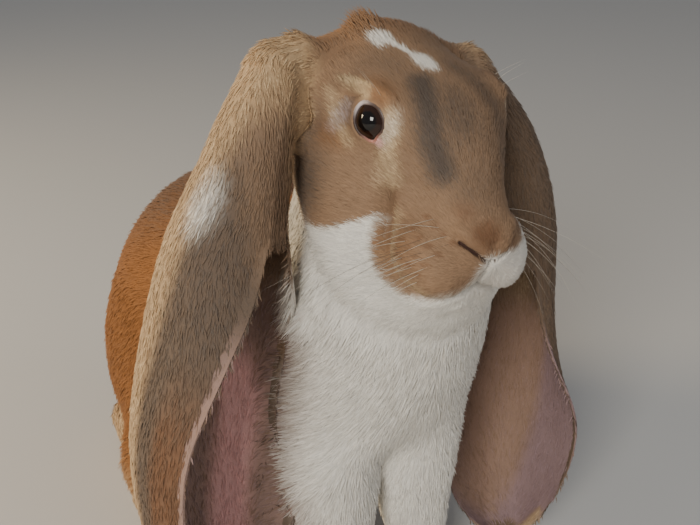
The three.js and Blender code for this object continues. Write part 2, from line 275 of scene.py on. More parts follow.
def new_object(name: str, held: ID) -> Object:
    """A linked object for a mesh, a light or a camera.

    Args:
        name: the object's name.
        held: what it holds.

    Returns:
        The object.
    """
    obj = bpy.data.objects.new(name, held)
    bpy.context.scene.collection.objects.link(obj)
    return obj


def mesh_from(name: str, points: Array, faces: Array) -> Mesh:
    """A smooth mesh from arrays.

    Args:
        name: the mesh's name.
        points: its vertices in millimetres.
        faces: its faces, all with the same number of corners.

    Returns:
        The mesh.
    """
    mesh = bpy.data.meshes.new(name)
    corners = faces.shape[1]
    mesh.vertices.add(len(points))
    mesh.vertices.foreach_set("co", (points * MM).astype(np.float32).ravel())
    mesh.loops.add(faces.size)
    mesh.loops.foreach_set("vertex_index", faces.astype(np.int32).ravel())
    mesh.polygons.add(len(faces))
    mesh.polygons.foreach_set("loop_start", np.arange(0, faces.size, corners, dtype=np.int32))
    mesh.polygons.foreach_set("use_smooth", np.ones(len(faces), bool))
    mesh.update(calc_edges=True)
    return mesh


def set_values(mesh: Mesh, name: str, values: Array) -> None:
    """Stores a number for each vertex under a name."""
    layer = mesh.attributes.get(name) or mesh.attributes.new(name, "FLOAT", "POINT")
    layer.data.foreach_set("value", values.astype(np.float32))


def solid_copy(node: str, grow: float = 0.2) -> BMesh:
    """A copy of a node's solid, grown a little so that copies of neighbours run together.

    Args:
        node: the node's name.
        grow: how far it grows, in millimetres.

    Returns:
        The copy.
    """
    copy = bmesh.new()
    copy.from_mesh(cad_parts[node].data)
    bmesh.ops.remove_doubles(copy, verts=copy.verts, dist=0.01 * MM)
    copy.normal_update()
    for vert, normal in [(v, v.normal.copy()) for v in copy.verts]:
        vert.co += normal * grow * MM
    return copy


def evaluated(mesh: Mesh, kind: str, **settings: object) -> Mesh:
    """A mesh after one modifier; the mesh given is used up.

    Args:
        mesh: the mesh.
        kind: the modifier's type.
        settings: the modifier's own settings.

    Returns:
        The new mesh.
    """
    obj = new_object("before", mesh)
    modifier = obj.modifiers.new("change", kind)
    for name, value in settings.items():
        setattr(modifier, name, value)
    depsgraph = bpy.context.evaluated_depsgraph_get()
    result = bpy.data.meshes.new_from_object(obj.evaluated_get(depsgraph))
    bpy.data.objects.remove(obj)
    bpy.data.meshes.remove(mesh)
    return result


def tree_of(mesh: Mesh) -> BVHTree:
    """A mesh as a search tree in metres."""
    return BVHTree.FromPolygons([v.co for v in mesh.vertices], [tuple(p.vertices) for p in mesh.polygons])


def largest_only(shape: BMesh) -> None:
    """Takes away all of a mesh but its largest run of faces that meet two at an edge.

    Args:
        shape: the mesh to clear.
    """
    left = set(shape.faces)
    islands = []
    while left:
        reached = [left.pop()]
        for face in reached:
            pairs = [edge.link_faces for edge in face.edges if len(edge.link_faces) == 2]
            near = {other for pair in pairs for other in pair} & left
            left -= near
            reached += near
        islands.append(reached)
    islands.sort(key=len)
    bmesh.ops.delete(shape, geom=[f for island in islands[:-1] for f in island], context="FACES")


def united(shells: Sequence[Mesh]) -> Mesh:
    """Several closed shells joined into one skin of triangles.

    Args:
        shells: the shells' meshes, used up.

    Returns:
        The skin's mesh.
    """
    joined, *others = shells
    for shell in others:
        other = new_object("other", shell)
        joined = evaluated(joined, "BOOLEAN", operation="UNION", solver="MANIFOLD", object=other)
        bpy.data.objects.remove(other)
    shape = bmesh.new()
    shape.from_mesh(joined)
    bmesh.ops.triangulate(shape, faces=shape.faces)
    largest_only(shape)
    shape.to_mesh(joined)
    shape.free()
    return joined


def remeshed(sources: Iterable[Mesh], voxel: float) -> Mesh:
    """One even closed mesh around several solids.

    Args:
        sources: the solids' meshes.
        voxel: the size of a face, in millimetres.

    Returns:
        The mesh.
    """
    joined = bmesh.new()
    for source in sources:
        joined.from_mesh(source)
    mesh = bpy.data.meshes.new("joined")
    joined.to_mesh(mesh)
    joined.free()
    return evaluated(mesh, "REMESH", mode="VOXEL", voxel_size=voxel * MM, use_smooth_shade=True)


# The regions of the body --------------------------------------------------------------------


@dataclass
class BodyMap:
    """Tells which node of flesh a place belongs to."""

    tree: BVHTree = field(init=False)
    owner: Array = field(init=False)

    def __post_init__(self) -> None:
        """Gathers the nodes' faces in one search tree."""
        points: list[Vector] = []
        faces: list[tuple[int, ...]] = []
        owner: list[int] = []
        for index, region in enumerate(REGIONS):
            for node in region.value:
                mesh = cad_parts[node].data
                start = len(points)
                points += [v.co.copy() for v in mesh.vertices]
                faces += [tuple(start + i for i in p.vertices) for p in mesh.polygons]
                owner += [index] * len(mesh.polygons)
        self.tree = BVHTree.FromPolygons(points, faces)
        self.owner = np.array(owner)

    def weights(self, points: Array, edges: Array, rounds: int) -> Array:
        """How much each vertex belongs to each region.

        Args:
            points: the vertices in millimetres.
            edges: the mesh's edges.
            rounds: how far the regions blend into each other.

        Returns:
            One row for each vertex and one column for each region, summing to 1.
        """
        nearest = [self.tree.find_nearest(Vector(p))[2] for p in (points * MM).tolist()]
        sharp = np.eye(len(REGIONS))[self.owner[nearest]]
        return relax(sharp, edges, np.full(len(points), float(rounds)))


@dataclass(frozen=True)
class CoatLay:
    """How the coat lies on one region, in millimetres and degrees."""

    depth: float  # from the skin to the tips
    length: float
    width: float
    lift: float
    smoothing: float  # rounds of smoothing under the skin


COAT_LAYS = {
    Region.HEAD: CoatLay(2.0, 5.4, 0.52, 13, 8),
    Region.NECK: CoatLay(5.5, 12, 0.80, 9, 40),
    Region.TRUNK: CoatLay(5.0, 12, 0.90, 9, 60),
    Region.TAIL: CoatLay(5.0, 11, 1.0, 14, 8),
    Region.FORELEG: CoatLay(3.5, 8.5, 0.80, 9, 30),
    Region.FOREPAW: CoatLay(2.0, 5.0, 0.75, 11, 10),
    Region.HINDLEG: CoatLay(4.5, 11, 0.90, 9, 50),
    Region.HINDFOOT: CoatLay(2.2, 6.0, 0.85, 11, 14),
    Region.EAR_RIGHT: CoatLay(0.7, 5.2, 0.62, 11, 6),
    Region.EAR_LEFT: CoatLay(0.7, 5.2, 0.62, 11, 6),
}


def lay_values(weights: Array, pick: Callable[[CoatLay], float]) -> Array:
    """One size of the coat at each place, blended by the places' shares in the regions."""
    return weights @ np.array([pick(COAT_LAYS[region]) for region in REGIONS])


def share(weights: Array, *regions: Region) -> Array:
    """How much each place belongs to some regions together."""
    return sum(weights[:, REGIONS.index(region)] for region in regions)


@dataclass
class EarLine:
    """The middle line of one hanging ear, from level slices of its solid."""

    name: str
    side: int
    opens: tuple[float, float]  # heights between which the inner side comes into view
    slices: int = 14
    slice_reach: float = 14.0  # how far above and below its height a slice takes points in
    tip_left: float = 8.0  # how far above the tip the first slice lies
    root_left: float = 30.0  # how far below the top the last slice lies
    sharp: float = 62.0  # the angle between faces that makes a rim, in degrees
    rims_from: float = 50.0  # how far to the side of the head's middle the rims start
    levels: Array = field(init=False)
    middles: Array = field(init=False)
    rims: KDTree = field(init=False)

    def __post_init__(self) -> None:
        """Slices the ear's solid and finds its sharp rims."""
        points = points_of(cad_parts["ear_" + self.name].data)
        self.rims = self.sharp_rims()
        low, high = points[:, 2].min(), points[:, 2].max()
        self.levels = np.linspace(low + self.tip_left, high - self.root_left, self.slices)
        middles = []
        for level in self.levels:
            slab = points[np.abs(points[:, 2] - level) < self.slice_reach]
            middles.append((slab.min(0) + slab.max(0)) / 2)
        self.middles = np.array(middles)

    def sharp_rims(self, spacing: float = 2.0) -> KDTree:
        """Points along the leaf's sharp edges, away from the head.

        Args:
            spacing: how far apart the points are, at most.

        Returns:
            The points as a search tree, in millimetres.
        """
        leaf = solid_copy("ear_" + self.name, grow=0)
        spots: list[Array] = []
        for edge in leaf.edges:
            if edge.calc_face_angle(0) > math.radians(self.sharp):
                start, end = (np.array(v.co) / MM for v in edge.verts)
                count = max(2, int(np.linalg.norm(end - start) / spacing))
                spots += list(start + (end - start) * np.linspace(0, 1, count)[:, None])
        leaf.free()
        out = HEAD.inside(np.array(spots))[:, 2] * self.side
        kept = [spot for spot, far in zip(spots, out) if far > self.rims_from]
        tree = KDTree(len(kept))
        for index, spot in enumerate(kept):
            tree.insert(spot, index)
        tree.balance()
        return tree

    def middle(self, points: Array) -> Array:
        """The ear's middle at each point's height."""
        columns = [np.interp(points[:, 2], self.levels, self.middles[:, axis]) for axis in (0, 1)]
        return np.stack([*columns, points[:, 2]], axis=1)

    def down(self, points: Array, step: float = 12.0) -> Array:
        """The direction from root to tip at each point.

        Args:
            points: one point a row.
            step: how far above and below the middle line is read.

        Returns:
            One unit vector a row.
        """
        hanging = unit(self.middle(points - UP * step) - self.middle(points + UP * step))
        outward = HEAD.direction(-0.1, -0.25, self.side)
        root = ramp(62, 46, HEAD.inside(points)[:, 2] * self.side)[:, None]
        return unit(hanging * (1 - root) + outward * root)

    def inner(self, points: Array, normals: Array) -> Array:
        """How much each point lies on the ear's bare inner side, from 0 to 1."""
        facing = dot(unit(self.middle(points) - points), normals)[:, 0]
        return ramp(0.05, 0.35, facing) * ramp(*self.opens, points[:, 2])


EAR_LINES = (EarLine("right", -1, (222, 200)), EarLine("left", 1, (165, 140)))
EAR_REGIONS = (Region.EAR_RIGHT, Region.EAR_LEFT)


NOSE_TIP = (72, -8, 0)  # ahead of the nose, where the face's coat starts to part


def lie_of_coat(points: Array, normals: Array, weights: Array) -> Array:
    """The way the coat lies, along the skin.

    Args:
        points: one point a row, in millimetres.
        normals: the skin's normals there.
        weights: each point's share in each region.

    Returns:
        A unit vector along the skin for each point.
    """
    nose = HEAD.place(*NOSE_TIP)
    outward = np.sign(points[:, :1] - HEAD.middle[0]) * np.array([1.0, 0, 0])
    ways = {
        Region.HEAD: unit(points - nose),
        Region.NECK: unit(np.array([0, 0.45, -1.0]) + outward * 0.15),
        Region.TRUNK: unit(np.array([0, 1.0, -0.45]) + outward * 0.1),
        Region.TAIL: np.array([0, 0.35, 1.0]),
        Region.FORELEG: np.array([0, 0.05, -1.0]),
        Region.FOREPAW: np.array([0, -1.0, -0.35]),
        Region.HINDLEG: unit(np.array([0, 0.5, -0.75]) + outward * 0.1),
        Region.HINDFOOT: np.array([0, -1.0, -0.2]),
        Region.EAR_RIGHT: EAR_LINES[0].down(points),
        Region.EAR_LEFT: EAR_LINES[1].down(points),
    }
    way = sum(weights[:, [i]] * ways[region] for i, region in enumerate(REGIONS))
    way = way - normals * dot(way, normals)
    flat = np.linalg.norm(way, axis=1, keepdims=True) < 0.05
    spare = -UP - normals * dot(np.broadcast_to(-UP, normals.shape), normals)
    return unit(np.where(flat, spare + 1e-3, way))


# Markings -----------------------------------------------------------------------------------


MUZZLE_MIDDLE = -2.0  # how far to the side the muzzle's middle lies
WHISKER_START = 43.0  # how far forward the first column of whiskers lies
WHISKER_STEP = 4.3  # from one row or column to the next
WHISKER_SLANT = 0.8  # how much lower each column starts
PAD_CREASE = (
    (27, 0, 25), (30.5, -6, 26.6), (36, -15, 29), (41.7, -22, 30.5), (50, -27, 28.5),
    (58, -29, 23), (63, -28, 16), (64.5, -25, 8), (65, -22.5, 0),
)


@dataclass(frozen=True)
class Markings:
    """Where the broken harlequin coat is orange, grey, cream, white, brown or bare pink, and where painted
    shade and painted highlights lie.
    """

    cheek_line: tuple[tuple[float, float], ...] = (
        (-60, -50), (-11, -37), (3, -31), (15, -24), (22, -16), (28, -9), (34, -3), (60, -3),
    )
    shirt_line: tuple[tuple[float, float], ...] = (
        (20, -30), (60, -45), (110, -72), (150, -80), (200, -82), (245, -88), (290, -96),
    )
    pink_line: tuple[tuple[float, float], ...] = (
        (30, -80), (60, -78), (108, -71), (150, -62), (195, -69),
    )

    def face_white(self, head: Array) -> Array:
        """The white of lower cheeks, lips and chin, and the blaze.

        Args:
            head: places in the head's axes.

        Returns:
            The mask.
        """
        forward, up, _ = head.T
        line = np.interp(forward, *zip(*self.cheek_line))
        under = ramp(line + 1.5, line - 2.5, up)
        near_pad = patch(head, (46.5, -9, -17), (20.5, 23.5, 23), 0.08)
        far_pad = patch(head, (50, 3, 10), (21, 10, 20), 0.15)
        nose = patch(head, (60, 3, -2), (14, 7.5, 12), 0.15)
        under = under * (1 - near_pad) * (1 - far_pad) * (1 - nose)
        top = head * (1, 0, 1)
        blaze = np.maximum.reduce([
            patch(top, (-25, 0, -12.5), (5.5, 9, 5.0), 0.35),
            streak(top, ((-23, 0, -11), (-14, 0, -8), (-7, 0, -6.5)), 1.5, 0.5),
            patch(top, (-2.5, 0, -5.5), (7, 9, 4.2), 0.35),
        ])
        return np.maximum(under, blaze * ramp(20, 30, up))

    def body_white(self, points: Array) -> Array:
        """The white of throat, chest, belly and forelegs.

        Args:
            points: places in millimetres.

        Returns:
            The mask.
        """
        line = np.interp(points[:, 2], *zip(*self.shirt_line))
        ragged = 3 * np.sin(points[:, 2] * 0.21 + points[:, 0] * 0.1)
        shirt = ramp(line + 5, line - 5, points[:, 1] + ragged)
        belly = ramp(44, 26, points[:, 2]) * ramp(62, 50, np.abs(points[:, 0] - 8))
        return np.maximum(shirt, belly * ramp(150, 120, points[:, 1]))

    def whisker_dots(self, muzzle: Array) -> Array:
        """The small dark dots at the whiskers' roots.

        Args:
            muzzle: places in the head's axes, with the distance from the muzzle's middle as side.

        Returns:
            The mask.
        """
        dots = np.zeros(len(muzzle))
        for row in range(4):
            for column in range(4):
                ahead = muzzle[:, 0] - WHISKER_START - WHISKER_STEP * column
                above = muzzle[:, 1] + WHISKER_STEP * row + WHISKER_SLANT * column
                here = ramp(1.5, 0.5, np.hypot(ahead, above))
                dots = np.maximum(dots, 0.55 * here * ramp(8, 12, muzzle[:, 2]))
        return dots

    def face_marks(self, head: Array) -> dict[Mark, Array]:
        """The marks of the face.

        Args:
            head: places in the head's axes.

        Returns:
            A mask for each mark found on the face.
        """
        halves = head.copy()
        halves[:, 2] = np.abs(head[:, 2])
        muzzle = head.copy()
        muzzle[:, 2] = np.abs(head[:, 2] - MUZZLE_MIDDLE)
        grey = np.maximum.reduce([
            0.95 * streak(head, ((9, 38, -14), (20, 32, -17), (29, 24, -18), (37, 16, -15)), 6.0, 0.9),
            0.62 * patch(head, (24, 31, -7), (17, 13, 10), 0.7),
            0.50 * streak(head, ((4, 38, 7), (22, 32, 12), (34, 19, 14)), 8.0, 0.9),
            0.72 * patch(halves, (-6, -16, 46), (13, 17, 16), 0.6),
            0.55 * patch(halves, (-16, 2, 45), (9, 14, 12), 0.6),
            0.35 * patch(head, (30, 22, 0), (22, 18, 30), 0.9),
            0.25 * patch(head, (-20, 40, 22), (30, 16, 20), 0.8),
            0.38 * patch(head, (44, 15, -5), (16, 9, 15), 0.8),
            0.38 * patch(head, (-6, 40, -20), (15, 9, 10), 0.8),
        ])
        cream = np.maximum.reduce([
            0.80 * streak(halves, ((13, 27, 30), (18, 22, 30), (20, 14, 30)), 3.6, 0.8),
            0.90 * streak(halves, ((-13, 29, 36), (-8, 30, 35), (-2, 31, 34)), 3.2, 0.7),
            0.60 * streak(halves, ((20, 12, 30), (25, 5, 29)), 5.0, 0.8),
            0.55 * streak(halves, ((-14, 20, 38), (-9, 14, 38), (4, 10, 38)), 2.6, 0.9),
            # painted highlight along the rim of the whisker pad, where light catches it
            0.55 * streak(muzzle, ((33, -5, 25), (38, -13, 27.5), (44, -19, 29)), 3.0, 0.7),
            0.38 * streak(muzzle, ((42, -19, 29), (50, -24, 27), (58, -25, 21)), 4.0, 0.9),
        ])
        brown = np.maximum.reduce([
            0.75 * patch(head, (61, 3, -5), (6, 5, 6), 0.6),
            0.40 * patch(head, (52, 8, -12), (5, 3.5, 5), 0.6),
            # painted shade in the groove under the brow, above the eye
            0.35 * streak(halves, ((-13, 26, 37), (-2, 31, 34), (7, 31, 31)), 1.3, 0.8),
            # painted shade along the nostril's groove and the crease below the whisker pad
            0.30 * streak(muzzle, ((57, 0.5, 14.5), (61, -1.2, 11), (64.5, -3.2, 6.5)), 2.0, 0.9),
            0.26 * streak(muzzle, PAD_CREASE, 1.8, 0.9),
            # painted shade dimming the far side of the white lip
            0.20 * patch(head, (62, -18, 9), (12, 12, 13), 0.6),
            self.whisker_dots(muzzle),
        ])
        orange = np.maximum.reduce([
            0.45 * patch(halves, (-5, 9, 41), (9, 6, 9), 0.7),
            0.35 * patch(halves, (4, 33.5, 31), (8, 4, 7), 0.6),
            0.40 * ramp(-14, -45, head[:, 0]),
            0.30 * patch(muzzle, (40, -16, 28), (10, 12, 8), 0.8),
        ])
        pink = 0.9 * streak(halves, ((11.5, 17.5, 34), (15.5, 16.5, 32.5)), 1.9, 0.7)
        white = np.maximum.reduce([
            self.face_white(head),
            0.25 * patch(halves, (-6, 16, 38), (4, 7, 6), 0.6),
            0.30 * patch(halves, (16, 24, 31), (4, 8, 5), 0.6),
        ])
        mauve = 0.40 * patch(halves, (-5.5, 16, 37.5), (3.5, 7, 5), 0.6)
        return {Mark.ORANGE: orange, Mark.GREY: grey, Mark.CREAM: cream, Mark.BROWN: brown,
                Mark.PINK: pink, Mark.MAUVE: mauve, Mark.WHITE: white}

    def ear_marks(self, points: Array, normals: Array, right: Array,
                  left: Array, rim: Array) -> dict[Mark, Array]:
        """The marks of the ears.

        Args:
            points: places in millimetres.
            normals: the skin's normals there.
            right: how much each belongs to the right ear.
            left: how much each belongs to the left ear.
            rim: how far the nearest rim is.

        Returns:
            A mask for each mark found on the ears.
        """
        x, y, z = points.T
        ears = right + left
        inner_right = EAR_LINES[0].inner(points, normals) * right
        inner_left = EAR_LINES[1].inner(points, normals) * left
        inner = inner_right + inner_left
        outer = ears * (1 - inner)
        # fold: the right ear's rear fold and the back of the left ear, partly their own paler fur, partly
        # painted highlight where rim light catches them; kept off the medial side next to the cheek
        fold = ramp(-124, -112, y) * ramp(60, 150, z) * outer * right
        fold = fold * (1 - ramp(-74, -66, x) * ramp(262, 248, z))
        fold = fold + 0.5 * ramp(-104, -94, y) * outer * left
        root = ramp(284, 306, z)
        medial = ramp(-76, -62, x) * ramp(150, 190, z)
        grey = 0.78 * right * (1 - root) * (1 - 0.55 * medial) * (1 - 0.92 * fold)
        grey = grey + left * (1 - root) * (0.62 - 0.3 * fold)
        # edge: the lower rims, partly their own paler fur, partly painted rim-light highlight
        edge = ramp(3.0, 0.8, rim) * ears * ramp(190, 160, z)
        centre = np.interp(z, *zip(*self.pink_line))
        flush = ramp(15, 4, np.abs(x - centre)) * ramp(200, 165, z)
        lateral = ramp(-110, -121, y)
        soft = ramp(0.5, 4, rim)
        # painted shade: the lower front of the right ear's outer face darkened brown, away from the rims
        painted_low_shade = 0.75 * ramp(215, 165, z) * ramp(-128, -138, y) * ramp(2, 9, rim)
        return {
            # fold's orange and cream are partly the ears' own paler fur, partly painted rim-light highlight
            Mark.ORANGE: 0.15 * outer * root + 0.5 * fold,
            Mark.GREY: grey * (1 - inner),
            Mark.CREAM: np.maximum(0.55 * fold + 0.2 * outer * root * (1 - fold), 0.45 * edge),
            Mark.BROWN: right * outer * (1 - fold) * painted_low_shade,
            Mark.WHITE: 0.6 * patch(points, (-83, -119, 262), (10, 6, 13), 0.7) * right,
            Mark.PINK: inner_right * flush,
            Mark.MAUVE: (inner_right * (1 - flush) * 0.5 + inner_left * (0.3 + 0.55 * lateral)) * soft,
        }

    def body_marks(self, points: Array, weights: Array) -> dict[Mark, Array]:
        """The marks of trunk, tail and legs.

        Args:
            points: places in millimetres.
            weights: their shares in each region.

        Returns:
            A mask for each mark found there.
        """
        grey = np.maximum.reduce([
            0.6 * patch(points, (-18, 60, 205), (34, 44, 40), 0.7),
            0.6 * patch(points, (44, 110, 170), (34, 40, 46), 0.7),
            0.5 * patch(points, (30, -20, 200), (30, 34, 40), 0.7),
        ])
        flank = ramp(-45, -51, points[:, 0]) * ramp(196, 180, points[:, 2]) * ramp(-85, -95, points[:, 1])
        low = share(weights, Region.HINDLEG, Region.HINDFOOT) * ramp(70, 30, points[:, 2])
        feet = share(weights, Region.FOREPAW, Region.FORELEG)
        toes = share(weights, Region.HINDFOOT) * ramp(10, -10, points[:, 1])
        white = np.maximum.reduce([self.body_white(points) * (1 - flank), feet, toes])
        return {Mark.ORANGE: 1 - 0.8 * flank, Mark.GREY: grey, Mark.CREAM: 0.6 * low, Mark.WHITE: white}

    def masks(self, points: Array, normals: Array, weights: Array, rim: Array) -> dict[Mark, Array]:
        """All the masks at some places of the skin.

        Args:
            points: the places in millimetres.
            normals: the skin's normals there.
            weights: their shares in each region.
            rim: how far the nearest rim of an ear is.

        Returns:
            A mask for each mark.
        """
        on_head = share(weights, Region.HEAD)
        right = share(weights, Region.EAR_RIGHT)
        left = share(weights, Region.EAR_LEFT)
        face = self.face_marks(HEAD.inside(points))
        ears = self.ear_marks(points, normals, right, left, rim)
        body = self.body_marks(points, weights)
        on_body = 1 - on_head - right - left
        none = np.zeros(len(points))
        return {
            mark: face.get(mark, none) * on_head + ears.get(mark, none) + body.get(mark, none) * on_body
            for mark in Mark
        }


# Finishes -----------------------------------------------------------------------------------


def sockets(tree: NodeTree, way: str, **kinds: str) -> None:
    """Adds sockets to a node group's INPUT or OUTPUT, by name and kind."""
    for name, kind in kinds.items():
        tree.interface.new_socket(name=name, in_out=way, socket_type="NodeSocket" + kind)


def mixed(tree: NodeTree, factor: NodeSocket, below: NodeSocket,
          above: NodeSocket, blend: str = "MIX") -> NodeSocket:
    """Lays one colour over another.

    Args:
        tree: the node tree to build in.
        factor: how much of the upper colour shows.
        below: the lower colour.
        above: the upper colour.
        blend: how they blend.

    Returns:
        The mixed colour.
    """
    node = tree.nodes.new("ShaderNodeMix")
    node.data_type = "RGBA"
    node.blend_type = blend
    tree.links.new(factor, node.inputs["Factor"])
    tree.links.new(below, node.inputs["A"])
    tree.links.new(above, node.inputs["B"])
    return node.outputs["Result"]


def math_node(tree: NodeTree, operation: str, *values: NodeSocket | float) -> NodeSocket:
    """A calculation on sockets and plain numbers.

    Args:
        tree: the node tree to build in.
        operation: what to calculate.
        values: the sockets and numbers that go in, in order.

    Returns:
        The result's socket.
    """
    node = tree.nodes.new("ShaderNodeMath")
    node.operation = operation
    for index, value in enumerate(values):
        if isinstance(value, (int, float)):
            node.inputs[index].default_value = value
        else:
            tree.links.new(value, node.inputs[index])
    return node.outputs[0]


def attribute(tree: NodeTree, name: str) -> NodeSocket:
    """A number stored on the mesh.

    Args:
        tree: the node tree to build in.
        name: the name that it is stored under.

    Returns:
        The number's socket.
    """
    node = tree.nodes.new("ShaderNodeAttribute")
    node.attribute_name = name
    return node.outputs["Fac"]


def solid_colour(tree: NodeTree, colour: Colour) -> NodeSocket:
    """One colour as a socket.

    Args:
        tree: the node tree to build in.
        colour: the colour.

    Returns:
        The socket.
    """
    node = tree.nodes.new("ShaderNodeRGB")
    node.outputs[0].default_value = (*colour, 1)
    return node.outputs[0]


def noise(tree: NodeTree, scale: float, detail: float = 2.0) -> NodeSocket:
    """Noise over the object's own space.

    Args:
        tree: the node tree to build in.
        scale: how many cells go on a metre.
        detail: how many finer layers it has.

    Returns:
        The noise's socket, from 0 to 1.
    """
    place = tree.nodes.new("ShaderNodeTexCoord")
    node = tree.nodes.new("ShaderNodeTexNoise")
    node.inputs["Scale"].default_value = scale
    node.inputs["Detail"].default_value = detail
    tree.links.new(place.outputs["Object"], node.inputs["Vector"])
    return node.outputs["Fac"]


@dataclass(frozen=True)
class CoatColours:
    """The colours of the coat and of the bare skin, as linear red, green and blue."""

    fawn: Colour = (0.340, 0.212, 0.126)
    orange: Colour = (0.27, 0.108, 0.030)
    grey: Colour = (0.105, 0.083, 0.068)
    # the coat's own cream, also used for painted highlight on the whisker pads and the ears
    cream: Colour = (0.66, 0.49, 0.29)
    white: Colour = (0.86, 0.82, 0.745)
    # the nose's own brown, also used for painted shade in the face's grooves, on the far lip and low on the
    # right ear
    brown: Colour = (0.19, 0.09, 0.045)
    pink: Colour = (0.86, 0.48, 0.45)
    mauve: Colour = (0.30, 0.205, 0.22)
    # the painted shade in the nostrils' and the mouth's grooves
    dark: Colour = (0.075, 0.038, 0.030)

    def of(self, mark: Mark) -> Colour:
        """The colour of a mark."""
        return getattr(self, mark.name.lower())


FINE_GRAIN = 900  # cells on a metre in the noise from hair to hair
BROAD_GRAIN = 70  # and in the slow change over the coat
DARKEST_TUFT = 0.70  # how light the darkest tufts are, as a share of their colour


def coat_group() -> NodeTree:
    """The node group that turns the stored markings into the coat's colour, with painted shade that darkens
    each tuft towards its root.

    Returns:
        The group, with outputs Color and Height.
    """
    tree = bpy.data.node_groups.new("coat_markings", "ShaderNodeTree")
    sockets(tree, "INPUT", Fawn="Color")
    sockets(tree, "INPUT", **{mark.name.title(): "Color" for mark in Mark})
    sockets(tree, "INPUT", **{"Painted Root Shade": "Float", "Brindle": "Float"})
    sockets(tree, "OUTPUT", Color="Color", Height="Float")
    step = partial(math_node, tree)
    given = tree.nodes.new("NodeGroupInput")
    out = tree.nodes.new("NodeGroupOutput")
    shade = attribute(tree, "tuft_shade")
    fine = noise(tree, FINE_GRAIN)
    broad = noise(tree, BROAD_GRAIN)
    grain = step("ADD", step("MULTIPLY", shade, 0.6), step("MULTIPLY", fine, 0.4))
    jitter = step("MULTIPLY", step("SUBTRACT", grain, 0.5), given.outputs["Brindle"])
    colour = given.outputs["Fawn"]
    for mark in Mark:
        mask = attribute(tree, mark.value)
        spread = step("MULTIPLY", mask, step("SUBTRACT", 1.0, mask))
        mask = step("ADD", mask, step("MULTIPLY", spread, jitter))
        clamp = tree.nodes.new("ShaderNodeClamp")
        tree.links.new(mask, clamp.inputs["Value"])
        colour = mixed(tree, clamp.outputs[0], colour, given.outputs[mark.name.title()])
    along = attribute(tree, "tuft_along")
    # painted shade: each tuft darkens towards its root, and the skin below as at a root, standing in for the
    # shade deep in the coat
    root = step("MULTIPLY", step("SUBTRACT", 1.0, along), given.outputs["Painted Root Shade"])
    light = step("SUBTRACT", 1.0, root)
    vary = step("ADD", DARKEST_TUFT, step("MULTIPLY", grain, 0.42))
    vary = step("ADD", vary, step("MULTIPLY", broad, 0.18))
    level = step("MULTIPLY", light, vary)
    combine = tree.nodes.new("ShaderNodeCombineColor")
    for name in ("Red", "Green", "Blue"):
        tree.links.new(level, combine.inputs[name])
    full = tree.nodes.new("ShaderNodeValue")
    full.outputs[0].default_value = 1.0
    shaded = mixed(tree, full.outputs[0], colour, combine.outputs[0], "MULTIPLY")
    tree.links.new(shaded, out.inputs["Color"])
    tree.links.new(fine, out.inputs["Height"])
    return tree


@dataclass(frozen=True)
class FurFinish:
    """The coat, or the skin below it."""

    name: str
    roughness: float = 0.7
    specular: float = 0.2
    sheen: float = 0.04
    sheen_roughness: float = 0.5
    # painted shade at the tufts' roots, as a share of their colour
    root_shade: float = 0.22
    brindle: float = 3.0
    bump: float = 0.0
    bump_height: float = 0.4  # millimetres
    colours: CoatColours = CoatColours()

    def material(self, group: NodeTree) -> Material:
        """Makes the material around the shared markings group.

        Args:
            group: the markings group.

        Returns:
            The material.
        """
        material, tree, shader = plain_material(self.name, {
            "Roughness": self.roughness,
            "Sheen Weight": self.sheen,
            "Sheen Roughness": self.sheen_roughness,
            "Specular IOR Level": self.specular,
        })
        node = tree.nodes.new("ShaderNodeGroup")
        node.node_tree = group
        node.inputs["Fawn"].default_value = (*self.colours.fawn, 1)
        for mark in Mark:
            node.inputs[mark.name.title()].default_value = (*self.colours.of(mark), 1)
        node.inputs["Painted Root Shade"].default_value = self.root_shade
        node.inputs["Brindle"].default_value = self.brindle
        tree.links.new(node.outputs["Color"], shader.inputs["Base Color"])
        if self.bump:
            relief = tree.nodes.new("ShaderNodeBump")
            relief.inputs["Strength"].default_value = self.bump
            relief.inputs["Distance"].default_value = self.bump_height * MM
            tree.links.new(node.outputs["Height"], relief.inputs["Height"])
            tree.links.new(relief.outputs["Normal"], shader.inputs["Normal"])
        return material


def plain_material(name: str, inputs: dict[str, float | Colour]) -> tuple[Material, NodeTree, Node]:
    """A new material with some of its shader's inputs set.

    Args:
        name: the material's name.
        inputs: a number or a colour for each input that is set.

    Returns:
        The material, its node tree and its Principled shader.
    """
    material = bpy.data.materials.new(name)
    material.use_nodes = True
    tree = material.node_tree
    shader = tree.nodes["Principled BSDF"]
    for key, value in inputs.items():
        shader.inputs[key].default_value = (*value, 1) if isinstance(value, tuple) else value
    return material, tree, shader


